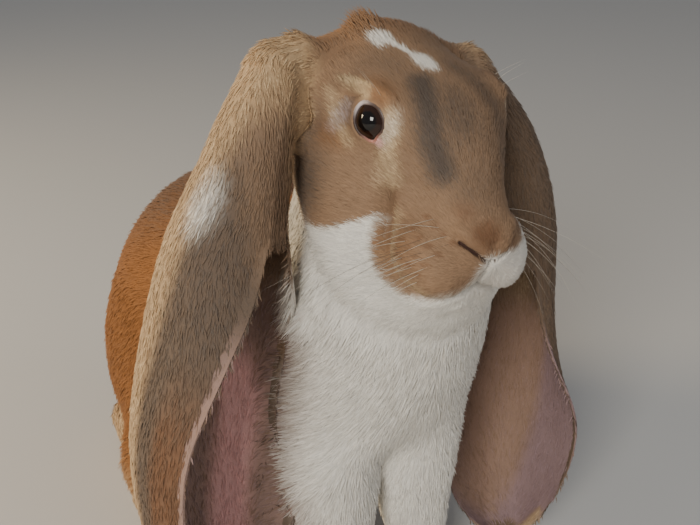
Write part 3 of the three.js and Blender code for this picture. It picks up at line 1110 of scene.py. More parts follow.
@dataclass(frozen=True)
class EyeFinish:
    """A dark wet eye: pupil, brown iris, dark rim and pale white, by the angle from its axis."""

    pupil: Colour = (0.004, 0.003, 0.003)
    iris: Colour = (0.022, 0.008, 0.004)
    edge: Colour = (0.010, 0.006, 0.005)
    white: Colour = (0.50, 0.44, 0.45)
    roughness: float = 0.06
    specular: float = 0.3
    wetness: float = 0.35
    wet_roughness: float = 0.02

    def material(self) -> Material:
        """Makes the material.

        Returns:
            The material.
        """
        material, tree, shader = plain_material("wet_eye", {
            "Roughness": self.roughness,
            "Specular IOR Level": self.specular,
            "Coat Weight": self.wetness,
            "Coat Roughness": self.wet_roughness,
        })
        angle = attribute(tree, "eye_angle")
        mottle = math_node(tree, "MULTIPLY", math_node(tree, "SUBTRACT", noise(tree, 700, 4), 0.5), 6)
        colours = tree.nodes.new("ShaderNodeValToRGB")
        tree.links.new(math_node(tree, "DIVIDE", math_node(tree, "ADD", angle, mottle), 90.0),
                       colours.inputs["Fac"])
        stops = colours.color_ramp.elements
        stops[0].position, stops[0].color = 0.24, (*self.pupil, 1)
        stops[1].position, stops[1].color = 0.64, (*self.white, 1)
        for position, colour in ((0.30, self.iris), (0.47, self.iris), (0.56, self.edge)):
            stop = stops.new(position)
            stop.color = (*colour, 1)
        tree.links.new(colours.outputs["Color"], shader.inputs["Base Color"])
        return material


@dataclass(frozen=True)
class LidFinish:
    """The lids' rims: dark next to the eye, fawn outside, pink and pale at the two corners."""

    inner: Colour = (0.05, 0.028, 0.022)
    outer: Colour = (0.40, 0.27, 0.17)
    pink: Colour = (0.58, 0.25, 0.19)
    pale: Colour = (0.62, 0.53, 0.53)
    roughness: float = 0.38

    def material(self) -> Material:
        """Makes the material.

        Returns:
            The material.
        """
        material, tree, shader = plain_material("lid_rims", {"Roughness": self.roughness})
        colour = solid_colour(tree, self.inner)
        for name, over in (("outer", self.outer), ("pale", self.pale), ("pink", self.pink)):
            colour = mixed(tree, attribute(tree, "lid_" + name), colour, solid_colour(tree, over))
        tree.links.new(colour, shader.inputs["Base Color"])
        return material


@dataclass(frozen=True)
class PlainFinish:
    """A finish of one colour."""

    name: str
    colour: Colour
    roughness: float

    def material(self) -> Material:
        """Makes the material."""
        return plain_material(self.name, {"Base Color": self.colour, "Roughness": self.roughness})[0]


# The eyes, the paws and the whiskers --------------------------------------------------------


def add_tube(shape: BMesh, rings: Array, ends: Sequence[Array] = ()) -> None:
    """Adds a closed tube to a mesh.

    Args:
        shape: the mesh to add to.
        rings: the tube's rings of points in order, in millimetres.
        ends: the tube's first and last point; with none, its last ring joins the first.
    """
    verts = [[shape.verts.new(p) for p in ring] for ring in (rings * MM).tolist()]
    around = range(-1, len(verts[0]) - 1)
    pairs = list(zip(verts, verts[1:]))
    if len(ends):
        for ring, end in ((verts[0], ends[0]), (verts[-1], ends[1])):
            tip = shape.verts.new((np.array(end) * MM).tolist())
            for i in around:
                shape.faces.new((ring[i], ring[i + 1], tip))
    else:
        pairs.append((verts[-1], verts[0]))
    for low, high in pairs:
        for i in around:
            shape.faces.new((low[i], low[i + 1], high[i + 1], high[i]))


def tapered(path: Array, radii: Array, around: int) -> Array:
    """Rings of points around a path.

    Args:
        path: the path's points.
        radii: the ring's radius at each.
        around: how many points a ring has.

    Returns:
        The rings.
    """
    along = unit(np.gradient(path, axis=0))
    first = unit(np.cross(along, along.mean(0) + (0.31, 0.22, 0.17)))
    second = np.cross(along, first)
    turn = np.linspace(0, 2 * math.pi, around, endpoint=False)[None, :, None]
    reach = radii[:, None, None]
    return path[:, None] + reach * (first[:, None] * np.cos(turn) + second[:, None] * np.sin(turn))


def add_piece(name: str, shape: BMesh, material: Material, slot: Slot, *replaced: str) -> Object:
    """Makes a piece of the rabbit from a mesh.

    Args:
        name: the piece's name.
        shape: its mesh, used up.
        material: its finish.
        slot: not used.
        replaced: the nodes that it stands for.

    Returns:
        The piece.
    """
    bmesh.ops.recalc_face_normals(shape, faces=shape.faces)
    for face in shape.faces:
        face.smooth = True
    mesh = bpy.data.meshes.new(name)
    shape.to_mesh(mesh)
    shape.free()
    mesh.materials.append(material)
    obj = new_object(name, mesh)
    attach(obj, BODY)
    if replaced:
        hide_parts(*replaced)
    log.info("%s: %d faces", name, len(mesh.polygons))
    return obj


def towards(turn: Array, at: float, wide: float) -> Array:
    """A soft bell around one direction, in degrees: 1 at it, and a third at wide from it."""
    off = (turn - at + 180) % 360 - 180
    return np.exp(-((off / wide) ** 2))


@dataclass(frozen=True)
class Eye:
    """One eyeball with its bulging cornea, and the lids around it.

    Directions around the eye's axis are in degrees, 0 ahead and 90 above.
    """

    name: str
    side: int
    radius: float = 9.3
    cornea: float = 0.7
    gaze: tuple[float, float, float] = (0.36, 0.23, 0.92)  # forward, up and out
    opening: float = 44.0  # how far from the axis the lids' edge lies, in degrees
    front_corner: float = -32.0
    rear_corner: float = 178.0
    lid_gap: float = 1.0  # from the eyeball to the skin of the lids
    socket_fit: float = 1.2  # how softly the skin comes to rest on the eyeball
    behind_lids: float = 0.76  # how deep the skin goes behind the ball's front, as a share of it
    ball_rings: int = 42
    ball_around: int = 48
    lid_rings: int = 96
    lid_around: int = 12

    @cached_property
    def middle(self) -> Array:
        """The eyeball's middle, in millimetres."""
        return np.mean([np.array(corner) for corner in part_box("eye_" + self.name)], axis=0) / MM

    @cached_property
    def axes(self) -> Array:
        """The eye's axes: ahead along the lids, above, and out.

        Returns:
            One axis a row.
        """
        forward, up, out = self.gaze
        out = HEAD.direction(forward, up, out * self.side)
        ahead = HEAD.direction(1, -0.35, 0)
        ahead = unit(ahead - out * (ahead @ out))
        return np.stack([ahead, np.cross(out, ahead) * -self.side, out])

    def lid_angle(self, turn: Array) -> Array:
        """How far from the axis the lids' edge lies in each direction around it, in degrees."""
        corners = 11 * towards(turn, self.rear_corner, 30) + 13 * towards(turn, self.front_corner, 18)
        return self.opening + corners - 3 * towards(turn, 80, 45)

    def cover(self, thickness: float = 3.0) -> BMesh:
        """A solid ball around the eye, so that the skin first runs over it.

        Args:
            thickness: how far the ball reaches out of the eyeball.

        Returns:
            The ball.
        """
        ball = bmesh.new()
        bmesh.ops.create_icosphere(ball, subdivisions=4, radius=(self.radius + thickness) * MM)
        bmesh.ops.translate(ball, verts=ball.verts, vec=self.middle * MM)
        return ball

    def socket(self, points: Array) -> tuple[Array, Array, Array]:
        """Fits the skin around the eyeball.

        Args:
            points: the skin's points in millimetres.

        Returns:
            The moved points, 1 where the skin is bare within the lids, and 1 next to them.
        """
        local = (points - self.middle) @ self.axes.T
        reach = np.maximum(np.linalg.norm(local, axis=1), 1e-6)
        angle = np.degrees(np.arccos(np.clip(local[:, 2] / reach, -1, 1)))
        edge = self.lid_angle(np.degrees(np.arctan2(local[:, 1], local[:, 0])))
        near = ramp(21, 18, reach) * ramp(120, 105, angle)
        over = self.radius + self.lid_gap
        full = over + self.socket_fit * np.logaddexp(0, (reach - over) / self.socket_fit)
        rim = ramp(edge + 17, edge + 3, angle)
        wanted = full + (over + 0.3 - full) * rim
        wanted = np.where(angle < edge, self.behind_lids * self.radius, wanted)
        moved = reach + (wanted - reach) * near
        points = self.middle + (local * (moved / reach)[:, None]) @ self.axes
        return points, ramp(edge + 11, edge + 7, angle) * near, ramp(edge + 48, edge + 8, angle) * near

    def ball(self, material: Material) -> Object:
        """Makes the eyeball from rings around its axis.

        Args:
            material: its finish.

        Returns:
            The eyeball.
        """
        angles = np.linspace(0, math.pi, self.ball_rings)[1:-1]
        turn = np.linspace(0, 2 * math.pi, self.ball_around, endpoint=False)
        reach = self.radius + self.cornea * ramp(44, 8, np.degrees(angles))
        flat = (reach * np.sin(angles))[:, None]
        deep = (reach * np.cos(angles))[:, None] * np.ones(len(turn))
        rings = np.stack([flat * np.cos(turn), flat * np.sin(turn), deep], axis=2)
        ends = np.array([[0, 0, self.radius + self.cornea], [0, 0, -self.radius]])
        shape = bmesh.new()
        add_tube(shape, rings @ self.axes + self.middle, ends @ self.axes + self.middle)
        obj = add_piece("eye_ball_" + self.name, shape, material, Slot.EYE, "eye_" + self.name)
        out = unit(points_of(obj.data) - self.middle) @ self.axes[2]
        set_values(obj.data, "eye_angle", np.degrees(np.arccos(np.clip(out, -1, 1))))
        return obj

    def lids(self, material: Material) -> Object:
        """Makes the lids' rims as one closed ring that rests on the eyeball.

        Args:
            material: their finish.

        Returns:
            The ring.
        """
        turn = np.linspace(0, 360, self.lid_rings, endpoint=False)
        around = np.radians(turn)
        edge = np.radians(self.lid_angle(turn) + 2.5)
        out = np.stack([np.sin(edge) * np.cos(around), np.sin(edge) * np.sin(around), np.cos(edge)], 1)
        along = unit(np.roll(out, -1, axis=0) - np.roll(out, 1, axis=0))
        aside = np.cross(along, out)
        thick = 0.85 + 0.25 * ramp(0.2, 1, np.sin(around)) + 0.45 * ramp(0.5, 1, -np.cos(around))
        bend = np.linspace(0, 2 * math.pi, self.lid_around, endpoint=False)[None, :, None]
        reach = thick[:, None, None]
        rings = (out * (self.radius + 0.15))[:, None] + reach * (
            0.75 * out[:, None] * np.cos(bend) + 1.15 * aside[:, None] * np.sin(bend))
        shape = bmesh.new()
        add_tube(shape, rings @ self.axes + self.middle)
        obj = add_piece("eye_lids_" + self.name, shape, material, Slot.FAWN)
        outward = np.repeat(out, self.lid_around, axis=0) * [1, 1, 0]
        from_middle = rings.reshape(-1, 3) - np.repeat(rings.mean(1), self.lid_around, axis=0)
        set_values(obj.data, "lid_outer", ramp(0.1, 0.9, dot(from_middle, outward)[:, 0]))
        for name, corner, wide in (("pink", self.front_corner, 26), ("pale", self.rear_corner, 32)):
            here = towards(turn, corner, wide)
            set_values(obj.data, "lid_" + name, np.repeat(here, self.lid_around))
        return obj


EYES = tuple(Eye(name, side) for name, side in SIDES)


@dataclass(frozen=True)
class Paw:
    """The front end of one foot: its toes and claws."""

    node: str
    toes: int = 4
    toe_length: float = 16.0
    groove_depth: float = 2.0
    groove_width: float = 1.5
    claw: float = 10.0
    claw_radius: float = 1.5
    claw_bend: float = 1.25  # how far a claw turns down towards its tip, in radians
    claw_height: float = 8.0
    claw_sunk: float = 2.5  # how far its root lies inside the toe

    @cached_property
    def middle(self) -> Array:
        """The foot's middle on the ground."""
        points = points_of(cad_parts[self.node].data)
        return (points.min(0) + points.max(0)) / 2 * (1, 1, 0)

    @cached_property
    def axes(self) -> Array:
        """The foot's axes: ahead, across and up.

        Returns:
            One axis a row.
        """
        flat = (points_of(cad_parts[self.node].data) - self.middle)[:, :2]
        ahead = np.linalg.eigh(flat.T @ flat)[1][:, -1]
        ahead = np.append(ahead * -np.sign(ahead[1]), 0)
        return np.stack([ahead, np.cross(UP, ahead), UP])

    @cached_property
    def reach(self) -> tuple[float, float, float]:
        """How far the toes reach.

        Returns:
            Their reach ahead, and to the one side and the other.
        """
        local = (points_of(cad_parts[self.node].data) - self.middle) @ self.axes.T
        front = local[:, 0].max()
        toes = local[local[:, 0] > front - self.toe_length]
        return front, toes[:, 1].min(), toes[:, 1].max()

    def across(self, share_of_width: float) -> float:
        """A place between the foot's two sides, from 0 to 1."""
        _, low, high = self.reach
        return low + (high - low) * share_of_width

    def grooves(self, points: Array) -> Array:
        """How far the skin sinks between the toes.

        Args:
            points: the skin's points in millimetres.

        Returns:
            A height for each point, below zero in the grooves.
        """
        ahead, across, up = ((points - self.middle) @ self.axes.T).T
        front, low, high = self.reach
        here = ramp(front - 22, front - 9, ahead) * ramp(30, 24, up) * ramp(front + 8, front + 4, ahead)
        here = here * ramp(low - 6, low - 2, across) * ramp(high + 6, high + 2, across)
        lines = [self.across(k / self.toes) for k in range(1, self.toes)]
        cuts = sum(np.exp(-(((across - line) / self.groove_width) ** 2)) for line in lines)
        return -self.groove_depth * here * cuts

    def add_claws(self, shape: BMesh, skin: "Skin") -> None:
        """Adds the foot's claws to a mesh.

        Args:
            shape: the mesh to add to.
            skin: the finished skin that they grow from.
        """
        t = np.linspace(0, 1, 9)
        for toe in range(self.toes):
            across = self.across((toe + 0.5) / self.toes)
            start = np.array([self.reach[0] + 20, across, self.claw_height])
            root = skin.hit(start @ self.axes + self.middle, -self.axes[0])
            if root is None:
                continue
            ahead = -self.claw_sunk + self.claw * np.sin(t * self.claw_bend) * 0.9
            drop = -self.claw * 0.62 * (1 - np.cos(t * self.claw_bend))
            path = root + np.stack([ahead, 0 * t, drop], axis=1) @ self.axes
            rings = tapered(path, self.claw_radius * (1 - 0.9 * t ** 1.6), 10)
            add_tube(shape, rings, (path[0], path[-1] + (path[-1] - path[-2]) * 0.3))


PAWS = tuple(Paw(node) for region in (Region.FOREPAW, Region.HINDFOOT) for node in region.value)


@dataclass(frozen=True)
class Claws:
    """The claws of all four feet, as one piece."""

    paws: tuple[Paw, ...] = PAWS
    horn: PlainFinish = PlainFinish("claw_horn", (0.20, 0.14, 0.10), 0.35)

    def build(self, skin: "Skin") -> Object:
        """Makes the claws.

        Args:
            skin: the finished skin that they grow from.

        Returns:
            The claws.
        """
        shape = bmesh.new()
        for paw in self.paws:
            paw.add_claws(shape, skin)
        return add_piece("claws", shape, self.horn.material(), Slot.CLAW)


@dataclass(frozen=True)
class Whiskers:
    """The long stiff hairs of the pads and the brows."""

    seed: int = 11
    rows: int = 5
    columns: int = 4
    thickness: float = 0.09
    longest: float = 66.0
    dark_share: float = 0.3
    sweep: tuple[float, float] = (-0.32, 0.16)  # how far forward the right and the left ones lean
    brow: tuple[tuple[float, float], ...] = ((-3, 33), (1, 33.5), (5, 33))  # forward and up
    pale: PlainFinish = PlainFinish("whisker_pale", (0.60, 0.54, 0.45), 0.5)
    dark: PlainFinish = PlainFinish("whisker_dark", (0.10, 0.07, 0.05), 0.4)

    def root(self, skin: "Skin", forward: float, up: float, side: int) -> Array | None:
        """The place on the skin straight to the side of the head's inside."""
        return skin.hit(HEAD.place(forward, up, 70 * side), HEAD.direction(0, 0, -side))

    def add(self, shape: BMesh, root: Array, way: Sequence[float], droop: float, length: float) -> None:
        """Adds one hair.

        Args:
            shape: the mesh to add to.
            root: where it grows.
            way: its first direction: forward, up and side.
            droop: how much it bends down, as a share of its length.
            length: its length.
        """
        t = np.linspace(0, 1, 11)[:, None]
        path = root + HEAD.direction(*way) * (t * length - 1.0) - UP * (droop * length * t ** 2)
        radii = self.thickness * (1 - 0.85 * t[:, 0])
        add_tube(shape, tapered(path, radii, 4), (path[0], path[-1]))

    def build(self, skin: "Skin") -> None:
        """Makes the pale and the dark hairs.

        Args:
            skin: the finished skin that they grow from.
        """
        materials = (self.pale.material(), self.dark.material())
        rng = np.random.default_rng(self.seed)
        shapes = (bmesh.new(), bmesh.new())
        for (_, side), lean in zip(SIDES, self.sweep):
            for row in range(self.rows):
                for column in range(self.columns):
                    forward = WHISKER_START + WHISKER_STEP * column + rng.normal(0, 0.7)
                    up = -WHISKER_STEP * row - WHISKER_SLANT * column + rng.normal(0, 0.6)
                    root = self.root(skin, forward, up, side)
                    way = (lean + rng.normal(0, 0.12), -0.14 * row - 0.22 + rng.normal(0, 0.1), side)
                    length = self.longest - 9 * column - 4 * abs(row - 1.5) + rng.normal(0, 4)
                    shape = shapes[int(rng.random() < self.dark_share)]
                    self.add(shape, root, way, rng.uniform(0.12, 0.4), length)
            for forward, up in self.brow:
                root = self.root(skin, forward, up, side)
                if root is not None:
                    way = (0.1 + rng.normal(0, 0.1), 0.75, side * 0.75)
                    self.add(shapes[0], root, way, 0.12, rng.uniform(15, 20))
        for name, shape, material in zip(("pale", "dark"), shapes, materials):
            add_piece("whiskers_" + name, shape, material, Slot.WHITE)


# The skin -----------------------------------------------------------------------------------


FINE_PARTS = (  # the middles, in the head's axes, and the radii of the parts with smaller faces
    ((18, 0, 0), 53),  # the face
    ((60, -9, 0), 24),  # the nose and the mouth
    ((4, 21, -28.2), 15),  # the right eye
    ((4, 21, 28.2), 15),
)


@dataclass(frozen=True)
class Fold:
    """A ridge or a groove of the face, on both halves alike, in the head's axes."""

    path: Path  # forward, up and distance from the muzzle's middle
    height: float  # above the skin; below zero for a groove
    width: float
    bare: float = 0.0  # how far to each side the skin is bare and painted with shade

    @property
    def half(self) -> float:
        """A half for a fold on the middle line, where both halves' folds lie, or else 1."""
        return 0.5 if max(aside for _, _, aside in self.path) == 0 else 1.0

    def laid(self, tree: BVHTree, side: int) -> Array:
        """The fold's path laid onto the skin of one half of the face.

        Args:
            tree: the skin as a search tree, in metres.
            side: the half's sign.

        Returns:
            Points along the path, in millimetres.
        """
        path = np.array(self.path, float)
        count = 8 * len(path)
        steps = np.linspace(0, len(path) - 1, count)
        dense = np.stack([np.interp(steps, range(len(path)), column) for column in path.T], axis=1)
        places = [HEAD.place(f, u, MUZZLE_MIDDLE + side * s) for f, u, s in dense]
        return np.array([tree.find_nearest(Vector(p * MM))[0] for p in places]) / MM


FOLDS = (
    Fold(((46, -12, 22), (55, -17, 15)), 3.4, 9.0),  # the pad of the whiskers
    Fold(PAD_CREASE, -4.4, 2.3),
    Fold(((57.5, 0, 14.5), (61, -1.6, 11), (64.5, -3.6, 6.5), (66.2, -6.5, 2.5)), -2.4, 0.9, 0.7),
    Fold(((56, 4, 14), (61, 2.5, 9), (64, 0, 4.5)), 1.1, 2.6),  # the nostril's upper wing
    Fold(((66.5, -6, 0), (66.6, -12, 0), (65.5, -21, 0)), -2.4, 1.1, 0.55),
    Fold(((65, -21.5, 0), (64.5, -24, 8), (63, -26.5, 15)), -1.6, 1.0, 0.5),  # the mouth
    Fold(((60, -33, 0), (56, -36, 6)), 1.2, 5.0),  # the chin
    Fold(((-17, 23, 35.5), (-8, 31, 33), (2, 34, 30), (10, 32, 27)), 2.2, 3.6),  # the brow
    Fold(((-11, 24, 36.5), (-3, 30, 34), (6, 31, 30), (12, 27, 27)), -1.4, 1.5),
    Fold(((14, 10, 32), (24, 3, 27)), -1.3, 3.5),  # below the eye's inner corner
    Fold(((-33, 12, 38), (-26, 29, 33), (-29, 35, 24)), -1.8, 2.6),  # between brow and ear
    Fold(((-6, -2, 42), (4, -8, 40)), 1.2, 9.0),  # the cheek
)


@dataclass
class Skin:
    """One closed skin for all the flesh, inside the solids by the coat's depth."""

    body_map: BodyMap
    voxel: float = 2.4
    smoothing: float = 3.0  # rounds of smoothing over the joined shells
    kept: float = 0.5  # the share of the body's faces that is kept; the trunk gives up the rest
    ear_voxel: float = 1.8
    ear_kept: float = 0.42
    ear_thinnest: float = 1.4
    ear_sunk: float = 1.0  # how much deeper than the coat the ears' skin lies, away from the rims
    rim_proud: float = 0.6  # how far it stands out of the leaf at the rims
    rim_smoothing: float = 9.0  # further rounds of smoothing along the rims
    near_head_depth: float = 2.0  # how far the ears' roots lie inside their solids
    left_root: tuple[float, float, float] = (-33, 34, 47)  # where the left ear leaves the head
    left_root_reach: tuple[float, float, float] = (22, 12, 15)
    left_root_sunk: float = 4.5
    legs_closed: float = 10.0  # how far the forelegs' inner sides fill out under the chest
    ear_lean: float = 6.0  # how far the right ear's front margin lies against the cheek
    closing: float = 9.0  # half the width of the gaps that are shut in the ears' rolls
    ear_stub: float = 54.0  # how far to the side the body's own piece of the ear's root goes
    face_reach: float = 95.0  # how far from the head's middle the folds are looked for
    ears_thin: float = 0.6  # how much of the coat is missing on the ears' inner sides
    nose_short: float = 0.4  # how much shorter the coat is on the nose
    lids_short: float = 0.6  # how much shorter it is next to the lids
    root_share: float = 0.3  # how far along a tuft the skin counts as lying, which sets the painted root shade on it
    tuft_shade: float = 0.5
    obj: Object = field(init=False)
    points: Array = field(init=False)
    normals: Array = field(init=False)
    edges: Array = field(init=False)
    weights: Array = field(init=False)
    rim: Array = field(init=False)  # how far the nearest rim of an ear is
    furred: Array = field(init=False)  # 1 where the coat grows, 0 where the skin is bare
    dark: Array = field(init=False)  # 1 in the nostrils' and the mouth's lines, which are painted with shade
    short: Array = field(init=False)  # the coat's length and width here, as a share

    def root_of_ear(self, name: str, side: int) -> BMesh:
        """The part of an ear's solid next to the head, closed by a flat end.

        Args:
            name: the ear's side, right or left.
            side: the sign of that side.

        Returns:
            The closed piece.
        """
        root = solid_copy("ear_" + name)
        plane = HEAD.place(0, 0, side * self.ear_stub) * MM
        away = HEAD.direction(0, 0, side)
        everything = [*root.verts, *root.edges, *root.faces]
        bmesh.ops.bisect_plane(root, geom=everything, plane_co=plane, plane_no=away, clear_outer=True)
        bmesh.ops.holes_fill(root, edges=[e for e in root.edges if e.is_boundary])
        return root

    def body_shell(self) -> Mesh:
        """The skin of everything but the hanging ears.

        Returns:
            Its closed mesh.
        """
        solids = [solid_copy(node) for node in FLESH if not node.startswith("ear")]
        solids += [self.root_of_ear(name, side) for name, side in SIDES]
        solids += [eye.cover() for eye in EYES]
        mesh = remeshed(to_meshes(solids), self.voxel)
        points, edges = points_of(mesh), edges_of(mesh)
        weights = self.body_map.weights(points, edges, 8)
        rounds = lay_values(weights, lambda lay: lay.smoothing)
        put_points(mesh, relax(points, edges, rounds))
        depth = lay_values(weights, lambda lay: lay.depth)
        depth = np.maximum(depth, self.near_head_depth * share(weights, *EAR_REGIONS))
        put_points(mesh, points_of(mesh) - normals_of(mesh) * depth[:, None])
        return self.thinned(mesh)

    def smooth_leaf(self, name: str) -> Mesh:
        """A smooth copy of an ear's solid.

        Args:
            name: the ear's side, right or left.

        Returns:
            Its mesh.
        """
        leaf = solid_copy("ear_" + name, grow=0)
        bmesh.ops.join_triangles(leaf, faces=leaf.faces, angle_face_threshold=0.6, angle_shape_threshold=0.9)
        return evaluated(to_meshes([leaf])[0], "SUBSURF", levels=2)

    def half_thickness(self, tree: BVHTree, points: Array, normals: Array) -> Array:
        """Half the way through a closed mesh, straight down from each of its points.

        Args:
            tree: the mesh as a search tree, in metres.
            points: its points in millimetres.
            normals: its normals there.

        Returns:
            The half thickness at each point, large where nothing is hit.
        """
        back = [tree.ray_cast(Vector(p), Vector(way))[3]
                for p, way in zip((points - normals * 0.1) * MM, -normals)]
        return np.array([hit or 1.0 for hit in back]) / MM / 2

    def ear_shell(self, name: str, side: int) -> Mesh:
        """The skin of one ear: its leaf swollen until the roll shuts, then drawn in again.

        Args:
            name: the ear's side, right or left.
            side: the sign of that side.

        Returns:
            Its closed mesh.
        """
        leaf = self.smooth_leaf(name)
        own = tree_of(leaf)
        put_points(leaf, points_of(leaf) + normals_of(leaf) * self.closing)
        mesh = remeshed([leaf], self.ear_voxel)
        points, edges = points_of(mesh), edges_of(mesh)
        points = relax(points, edges, np.full(len(points), self.smoothing))
        put_points(mesh, points)
        normals = normals_of(mesh)
        nearest = np.array([own.find_nearest(Vector(p))[0] for p in points * MM]) / MM
        far = np.linalg.norm(points - nearest, axis=1)
        half = self.half_thickness(tree_of(mesh), points, normals)
        line = EAR_LINES[0 if side < 0 else 1]
        drawn_in = points - normals * self.closing
        rim = np.array([line.rims.find(p)[2] for p in drawn_in])
        out = HEAD.inside(drawn_in)[:, 2] * side
        near_head = ramp(self.ear_stub + 2, self.ear_stub - 8, out) * ramp(225, 250, points[:, 2])
        under_coat = (COAT_LAYS[Region.EAR_RIGHT].depth + self.ear_sunk) * ramp(1, 7, rim)
        depth = far + under_coat - self.rim_proud
        thinnest = np.minimum(depth, half - self.ear_thinnest / 2)
        bridged = ramp(0.985, 0.93, half / self.closing)[:, None]
        home = points - unit(points - nearest) * depth[:, None]
        flat = points - normals * thinnest[:, None]
        points = home * (1 - bridged) + flat * bridged
        points -= normals * self.near_head_depth * near_head[:, None]
        points = relax(points, edges, 2 + self.rim_smoothing * ramp(4, 1, rim))
        if side < 0:
            x, _, z = points.T
            points[:, 0] += self.ear_lean * ramp(-94, -66, x) * ramp(185, 215, z) * ramp(290, 240, z)
        put_points(mesh, points)
        return evaluated(mesh, "DECIMATE", ratio=self.ear_kept)

    def build(self) -> Object:
        """Makes the skin, its fields and its map.

        Returns:
            The skin.
        """
        mesh = united([self.body_shell(), *(self.ear_shell(name, side) for name, side in SIDES)])
        for middle, radius in FINE_PARTS:
            self.refine(mesh, middle, radius)
        mesh.name = "skin"
        mesh.materials.clear()
        self.obj = new_object("skin", mesh)
        self.read(rounds=self.smoothing)
        self.sculpt()
        self.read()
        self.unwrap()
        log.info("skin: %d vertices, %d faces", len(mesh.vertices), len(mesh.polygons))
        return self.obj

    def thinned(self, mesh: Mesh) -> Mesh:
        """The mesh with fewer, larger faces on the trunk and legs, under the long coat.

        Args:
            mesh: the mesh, used up.

        Returns:
            The thinned mesh.
        """
        points = points_of(mesh)
        head = HEAD.inside(points)
        spare = ramp(75, 95, np.linalg.norm(head, axis=1)) * ramp(62, 56, np.abs(points[:, 0] - 8))
        obj = new_object("thinned", mesh)
        group = obj.vertex_groups.new(name="spare")
        for index in np.flatnonzero(spare > 0.5).tolist():
            group.add([index], 1.0, "REPLACE")
        fewer = obj.modifiers.new("fewer", "DECIMATE")
        fewer.ratio = self.kept
        fewer.vertex_group = group.name
        result = bpy.data.meshes.new_from_object(
            obj.evaluated_get(bpy.context.evaluated_depsgraph_get()))
        bpy.data.objects.remove(obj)
        return result

    def refine(self, mesh: Mesh, middle: Sequence[float], radius: float) -> None:
        """Divides the faces of a part of the head once more.

        Args:
            mesh: the mesh to refine.
            middle: the part's middle, in the head's axes.
            radius: how far the part reaches.
        """
        shape = bmesh.new()
        shape.from_mesh(mesh)
        chosen = np.linalg.norm(HEAD.inside(points_of(mesh)) - middle, axis=1) < radius
        shape.edges.ensure_lookup_table()
        inside = [e for e in shape.edges if chosen[e.verts[0].index] and chosen[e.verts[1].index]]
        bmesh.ops.subdivide_edges(shape, edges=inside, cuts=1)
        bmesh.ops.triangulate(shape, faces=shape.faces)
        shape.to_mesh(mesh)
        shape.free()

    def read(self, rounds: float = 0.0) -> None:
        """Takes the mesh into arrays, after some smoothing.

        Args:
            rounds: rounds of smoothing.
        """
        mesh = self.obj.data
        self.edges = edges_of(mesh)
        points = points_of(mesh)
        if rounds:
            points = relax(points, self.edges, np.full(len(points), rounds))
            put_points(mesh, points)
        self.points = points_of(mesh)
        self.normals = unit(relax(normals_of(mesh), self.edges, np.full(len(points), 3.0)))
        self.weights = self.body_map.weights(self.points, self.edges, 12)
        self.rim = self.rim_of_ears()

    def rim_of_ears(self) -> Array:
        """How far each vertex is from the nearest rim of an ear.

        Returns:
            The distances in millimetres, large away from the ears.
        """
        rim = np.full(len(self.points), 99.0)
        for line, region in zip(EAR_LINES, EAR_REGIONS):
            for index in np.flatnonzero(share(self.weights, region) > 0.3):
                rim[index] = line.rims.find(self.points[index])[2]
        return rim

    @cached_property
    def finished(self) -> BVHTree:
        """The finished skin as a search tree."""
        return tree_of(self.obj.data)

    def hit(self, start: Array, way: Array) -> Array | None:
        """Where a straight line first meets the finished skin, in millimetres."""
        place = self.finished.ray_cast(Vector(start * MM), Vector(way))[0]
        return None if place is None else np.array(place) / MM

    def fold_face(self, head: Array, on_head: Array) -> Array:
        """Reads how far the face's folds raise the skin, and where their lines are bare and painted with
        shade.

        Args:
            head: the skin's points in the head's axes.
            on_head: their shares in the head.

        Returns:
            A height for each point, below zero in the grooves.
        """
        face = np.flatnonzero((on_head > 0.05) & (np.linalg.norm(head, axis=1) < self.face_reach))
        tree = tree_of(self.obj.data)
        rise, self.dark = np.zeros(len(head)), np.zeros(len(head))
        for fold in FOLDS:
            for _, side in SIDES:
                far = distance_to(self.points[face], fold.laid(tree, side))
                rise[face] += fold.height * fold.half * np.exp(-((far / fold.width) ** 2))
                if fold.bare:
                    # the bare lines are painted with shade
                    line = ramp(1.7, 0.8, far / fold.bare)
                    self.dark[face] = np.maximum(self.dark[face], line)
        return rise * on_head

    def close_legs(self, points: Array) -> Array:
        """How far the forelegs' inner sides fill out, to the side.

        Args:
            points: the skin's points.

        Returns:
            A distance for each point, along the body's side axis.
        """
        legs = [np.mean(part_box(node), axis=0)[0] / MM for node in Region.FORELEG.value]
        inward = np.sign(np.mean(legs) - points[:, 0])
        facing = ramp(-0.2, 0.6, self.normals[:, 0] * inward) * share(self.weights, Region.FORELEG)
        return inward * self.legs_closed * facing * ramp(24, 55, points[:, 2])

    def sculpt(self) -> None:
        """Shapes the face's folds, the eyes' sockets and the toes, and thins the coat there."""
        points = self.points.copy()
        head = HEAD.inside(points)
        on_head = share(self.weights, Region.HEAD)
        points += self.normals * self.fold_face(head, on_head)[:, None]
        knuckle = patch(head, self.left_root, self.left_root_reach, 0.95)
        points -= HEAD.direction(0, 1, 0.3) * (self.left_root_sunk * knuckle)[:, None]
        points[:, 0] += self.close_legs(points)
        self.furred = 1 - self.dark
        for line, region in zip(EAR_LINES, EAR_REGIONS):
            inner = line.inner(points, self.normals) * share(self.weights, region)
            self.furred *= 1 - self.ears_thin * inner
        self.short = 1 - self.nose_short * ramp(30, 52, head[:, 0]) * on_head
        for eye in EYES:
            points, bare, near = eye.socket(points)
            self.furred *= 1 - bare
            self.short *= 1 - self.lids_short * near
        for paw in PAWS:
            points += self.normals * paw.grooves(points)[:, None]
        put_points(self.obj.data, points)

    def dress(self, markings: Markings, material: Material) -> None:
        """Gives the skin its markings and its finish.

        Args:
            markings: where each colour lies.
            material: the finish under the coat.
        """
        mesh, count = self.obj.data, len(self.points)
        mesh.materials.append(material)
        masks = markings.masks(self.points, self.normals, self.weights, self.rim)
